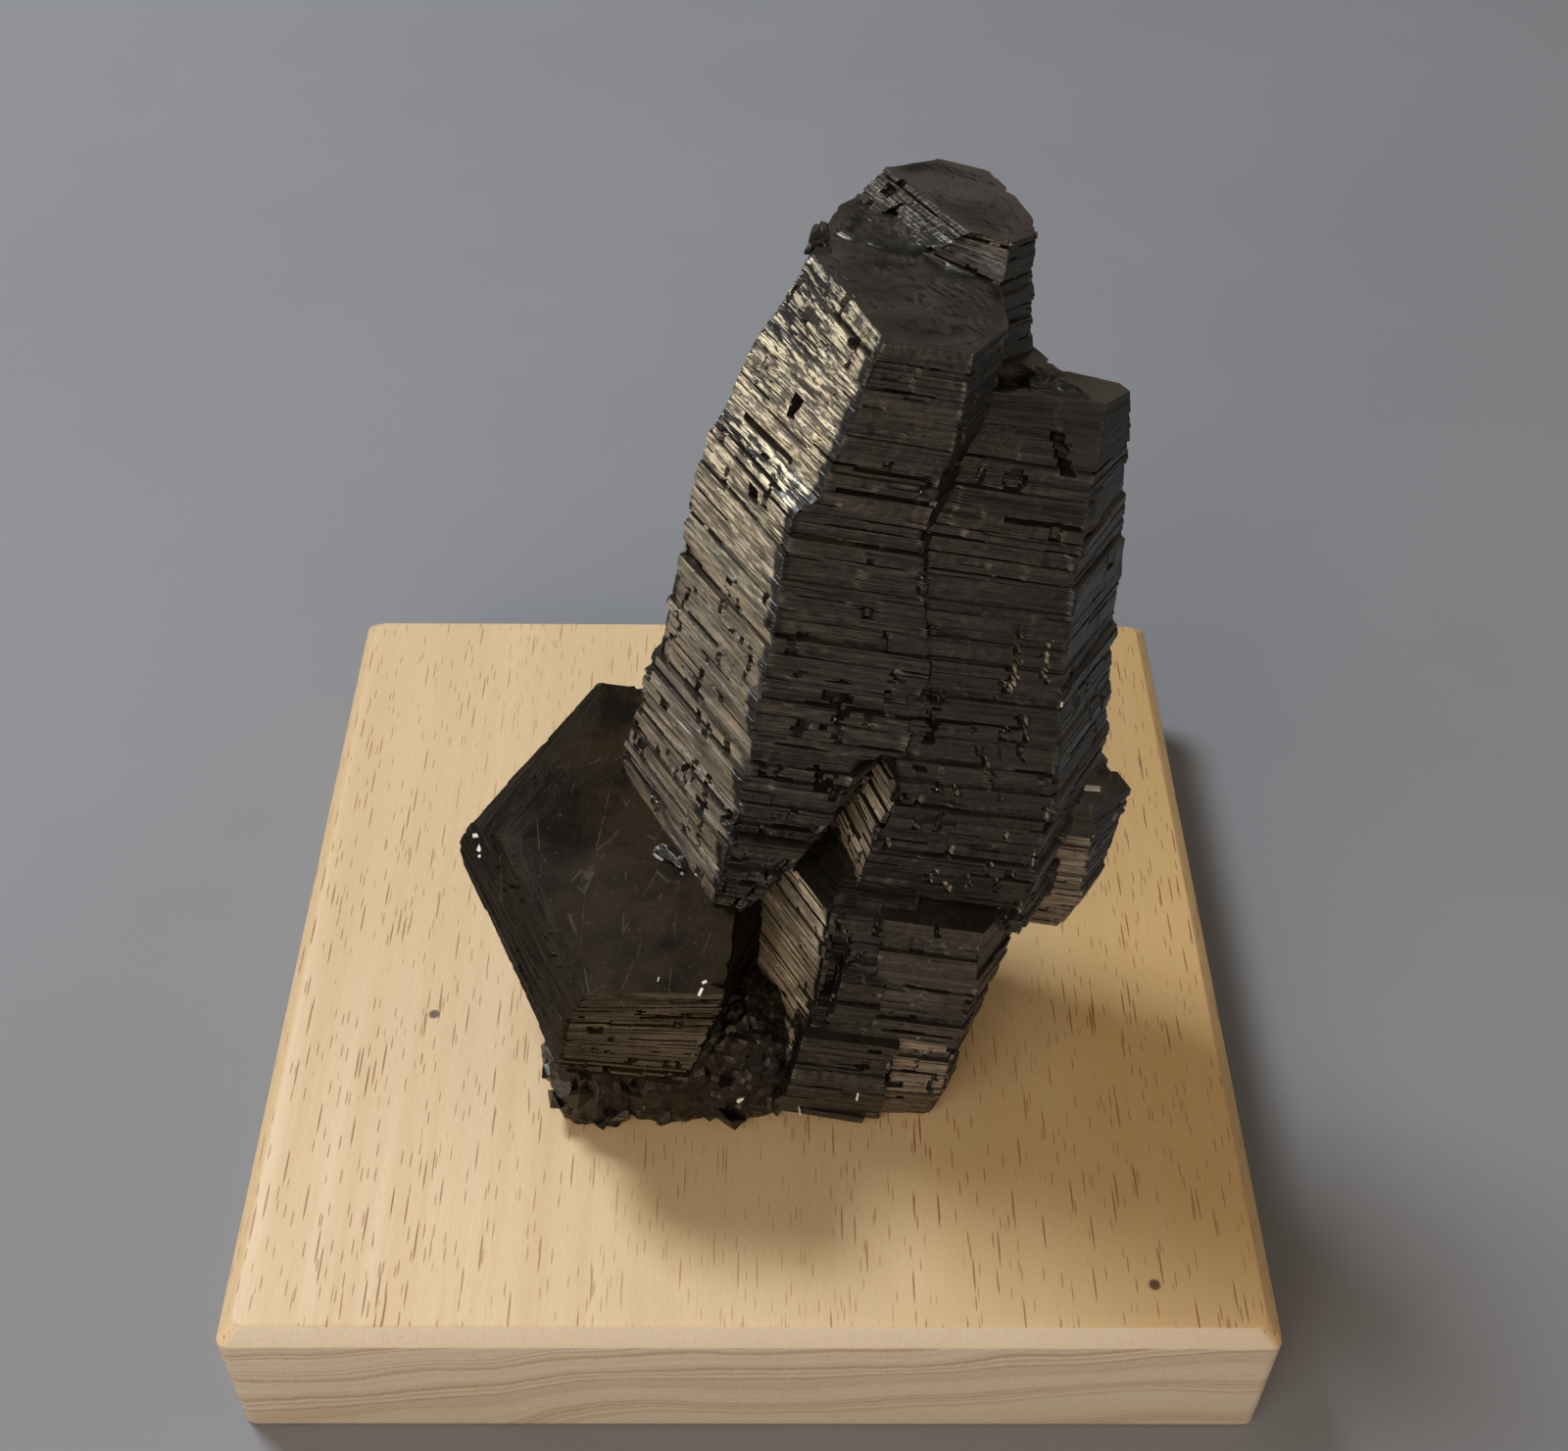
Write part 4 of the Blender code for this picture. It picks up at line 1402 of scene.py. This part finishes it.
    def tabular_pile(self) -> PlatePile:
        """Describes the thick tabular crystal low on the left.

        Returns:
            The pile, not built yet.
        """
        relief = Relief(
            slat_plates=(1, 4), slat_step=0.11, plate_step=0.05, slat_edge=0.02, brick_run=5.0,
            brick_step=0.08, groove_share=0.22, groove_depth=0.35, pits_per_cm2=1.2,
        )
        plates = (
            TopPlate(((-2.6, 13), (1.9, 6.8), (6, 0.6), (12, 3), (12, 9), (2, 13)), -0.5),
            TopPlate(((-7, 4.6), (-1, -4.5), (6, 0.6), (1.9, 6.8), (-2.9, 12)), 0.22),
            TopPlate(((2.4, -10), (9, -11.4), (14.6, -8), (14, -3), (5, -3.5)), 0.25),
            TopPlate(((-3, -2), (0.5, -8), (3, -6), (1, -2)), -0.2),
        )
        return PlatePile(
            "tabular_crystal", TABULAR_CRYSTAL, self.tabular, 30, (0, 4, 5), relief, plate=(0.18, 0.38),
            fine=0.3, rise=0.01, crown_from=-2.4, crown_share=0.5, top_plates=plates, top_step=0.14,
            top_spacing=0.3,
        )

    def build(self, view: PhotoView) -> None:
        """Builds every crystal, the foot and the specks on them, and sets each on the body in place of the
        imported cluster.

        Args:
            view: the photograph's viewpoint, by which the specks are placed.
        """
        finishes = {name: finish.build() for name, finish in FINISHES.items()}
        flake = PlatePile("flake", FLAKE, self.tabular, 31, (0, 1, 2, 3), plate=(0.12, 0.2), fine=0.2)
        piles = [*self.piles(), self.tabular_pile(), flake]
        pieces = [pile.build(finishes[FINISH_OF.get(pile.name, "dark")]) for pile in piles]
        lumps = (
            FootLump(-16.6, -24, 4.6, 15), FootLump(-9, -22, 6.6, 16), FootLump(-1.5, -22, 6.4, 15),
            FootLump(-14.5, -13, 8, 17), FootLump(-13, -3, 7.4, 16),
        )
        pieces.append(Foot(lumps).build(finishes["black"]))
        # The specks' finish: pale dust, and for some of them painted glints
        dust = PlainFinish("pale_dust_and_glints", (0.75, 0.72, 0.66), (0.55, 0.52, 0.47), 3000.0).build()
        pieces.append(Specks(view).build(pieces, dust))
        for piece in pieces:
            enter(piece, Node.CLUSTER)


@dataclass(frozen=True)
class Lamp:
    """A square soft light that looks at the specimen: the way to it, how far, its width, power and tone."""

    name: str
    way: Triple
    away_m: float
    size_m: float
    watts: float
    tone: Triple

    def hang(self, aim: Vector) -> None:
        """Hangs the light.

        Args:
            aim: the point that it looks at, in metres.
        """
        data = bpy.data.lights.new(self.name, "AREA")
        data.size = self.size_m
        data.energy = self.watts
        data.color = self.tone
        lamp = bpy.data.objects.new(self.name, data)
        towards = Vector(self.way).normalized()
        lamp.location = aim + towards * self.away_m
        lamp.rotation_euler = towards.to_track_quat("Z", "Y").to_euler()
        bpy.context.scene.collection.objects.link(lamp)


@dataclass(frozen=True)
class Studio:
    """A plain floor, a soft window light from behind on the left, and a wide warm light from the front."""

    floor_size_m: float = 3.0
    floor_gap_m: float = 0.0002
    floor_tones: tuple[Triple, Triple] = (
        (0.200, 0.204, 0.222), (0.218, 0.222, 0.242),
    )
    aim_m: Triple = (0.0, 0.0, 0.03)
    lamps: tuple[Lamp, ...] = (
        Lamp("window_light", (-0.42, 0.34, 0.84), 0.95, 0.24, 7.7, (0.88, 0.95, 1.0)),
        Lamp("side_light", (-0.58, -0.66, 0.48), 1.3, 0.8, 6.0, (1.0, 0.96, 0.90)),
        Lamp("room_light", (-0.22, -0.88, 0.42), 1.4, 1.0, 8.2, (1.0, 0.74, 0.46)),
        Lamp("fill_light", (0.86, -0.20, 0.47), 1.4, 1.2, 2.6, (1.0, 0.95, 0.90)),
    )
    air_tone: Triple = (1.0, 0.89, 0.74)
    air_strength: float = 0.14

    def floor(self) -> None:
        """Lays the floor just under the block."""
        bm = bmesh.new()
        bmesh.ops.create_grid(bm, x_segments=8, y_segments=8, size=self.floor_size_m / 2)
        bmesh.ops.translate(bm, vec=(0, 0, -self.floor_gap_m), verts=bm.verts)
        finish = PlainFinish("grey_floor", *self.floor_tones, 9.0, 0.75)
        finished_object(bm, "floor", finish.build())

    def air(self) -> None:
        """Fills the shadows with an even glow."""
        world = bpy.data.worlds.new("soft_air")
        world.use_nodes = True
        background = world.node_tree.nodes["Background"]
        background.inputs["Color"].default_value = (*self.air_tone, 1.0)
        background.inputs["Strength"].default_value = self.air_strength
        bpy.context.scene.world = world

    def build(self) -> None:
        """Sets up the floor, the lights and the air."""
        self.floor()
        for lamp in self.lamps:
            lamp.hang(Vector(self.aim_m))
        self.air()
        bpy.context.scene.view_settings.view_transform = "Standard"


def main() -> None:
    """Builds the specimen, its block, the studio and the camera, and logs each piece's faces."""
    logging.basicConfig(level=logging.INFO, format="%(name)s %(message)s")
    view = PhotoView()
    CrystalGroup().build(view)
    enter(Block().build(WoodFinish().build()), Node.BLOCK)
    Studio().build()
    view.place_camera()


if __name__ == "__main__":
    main()
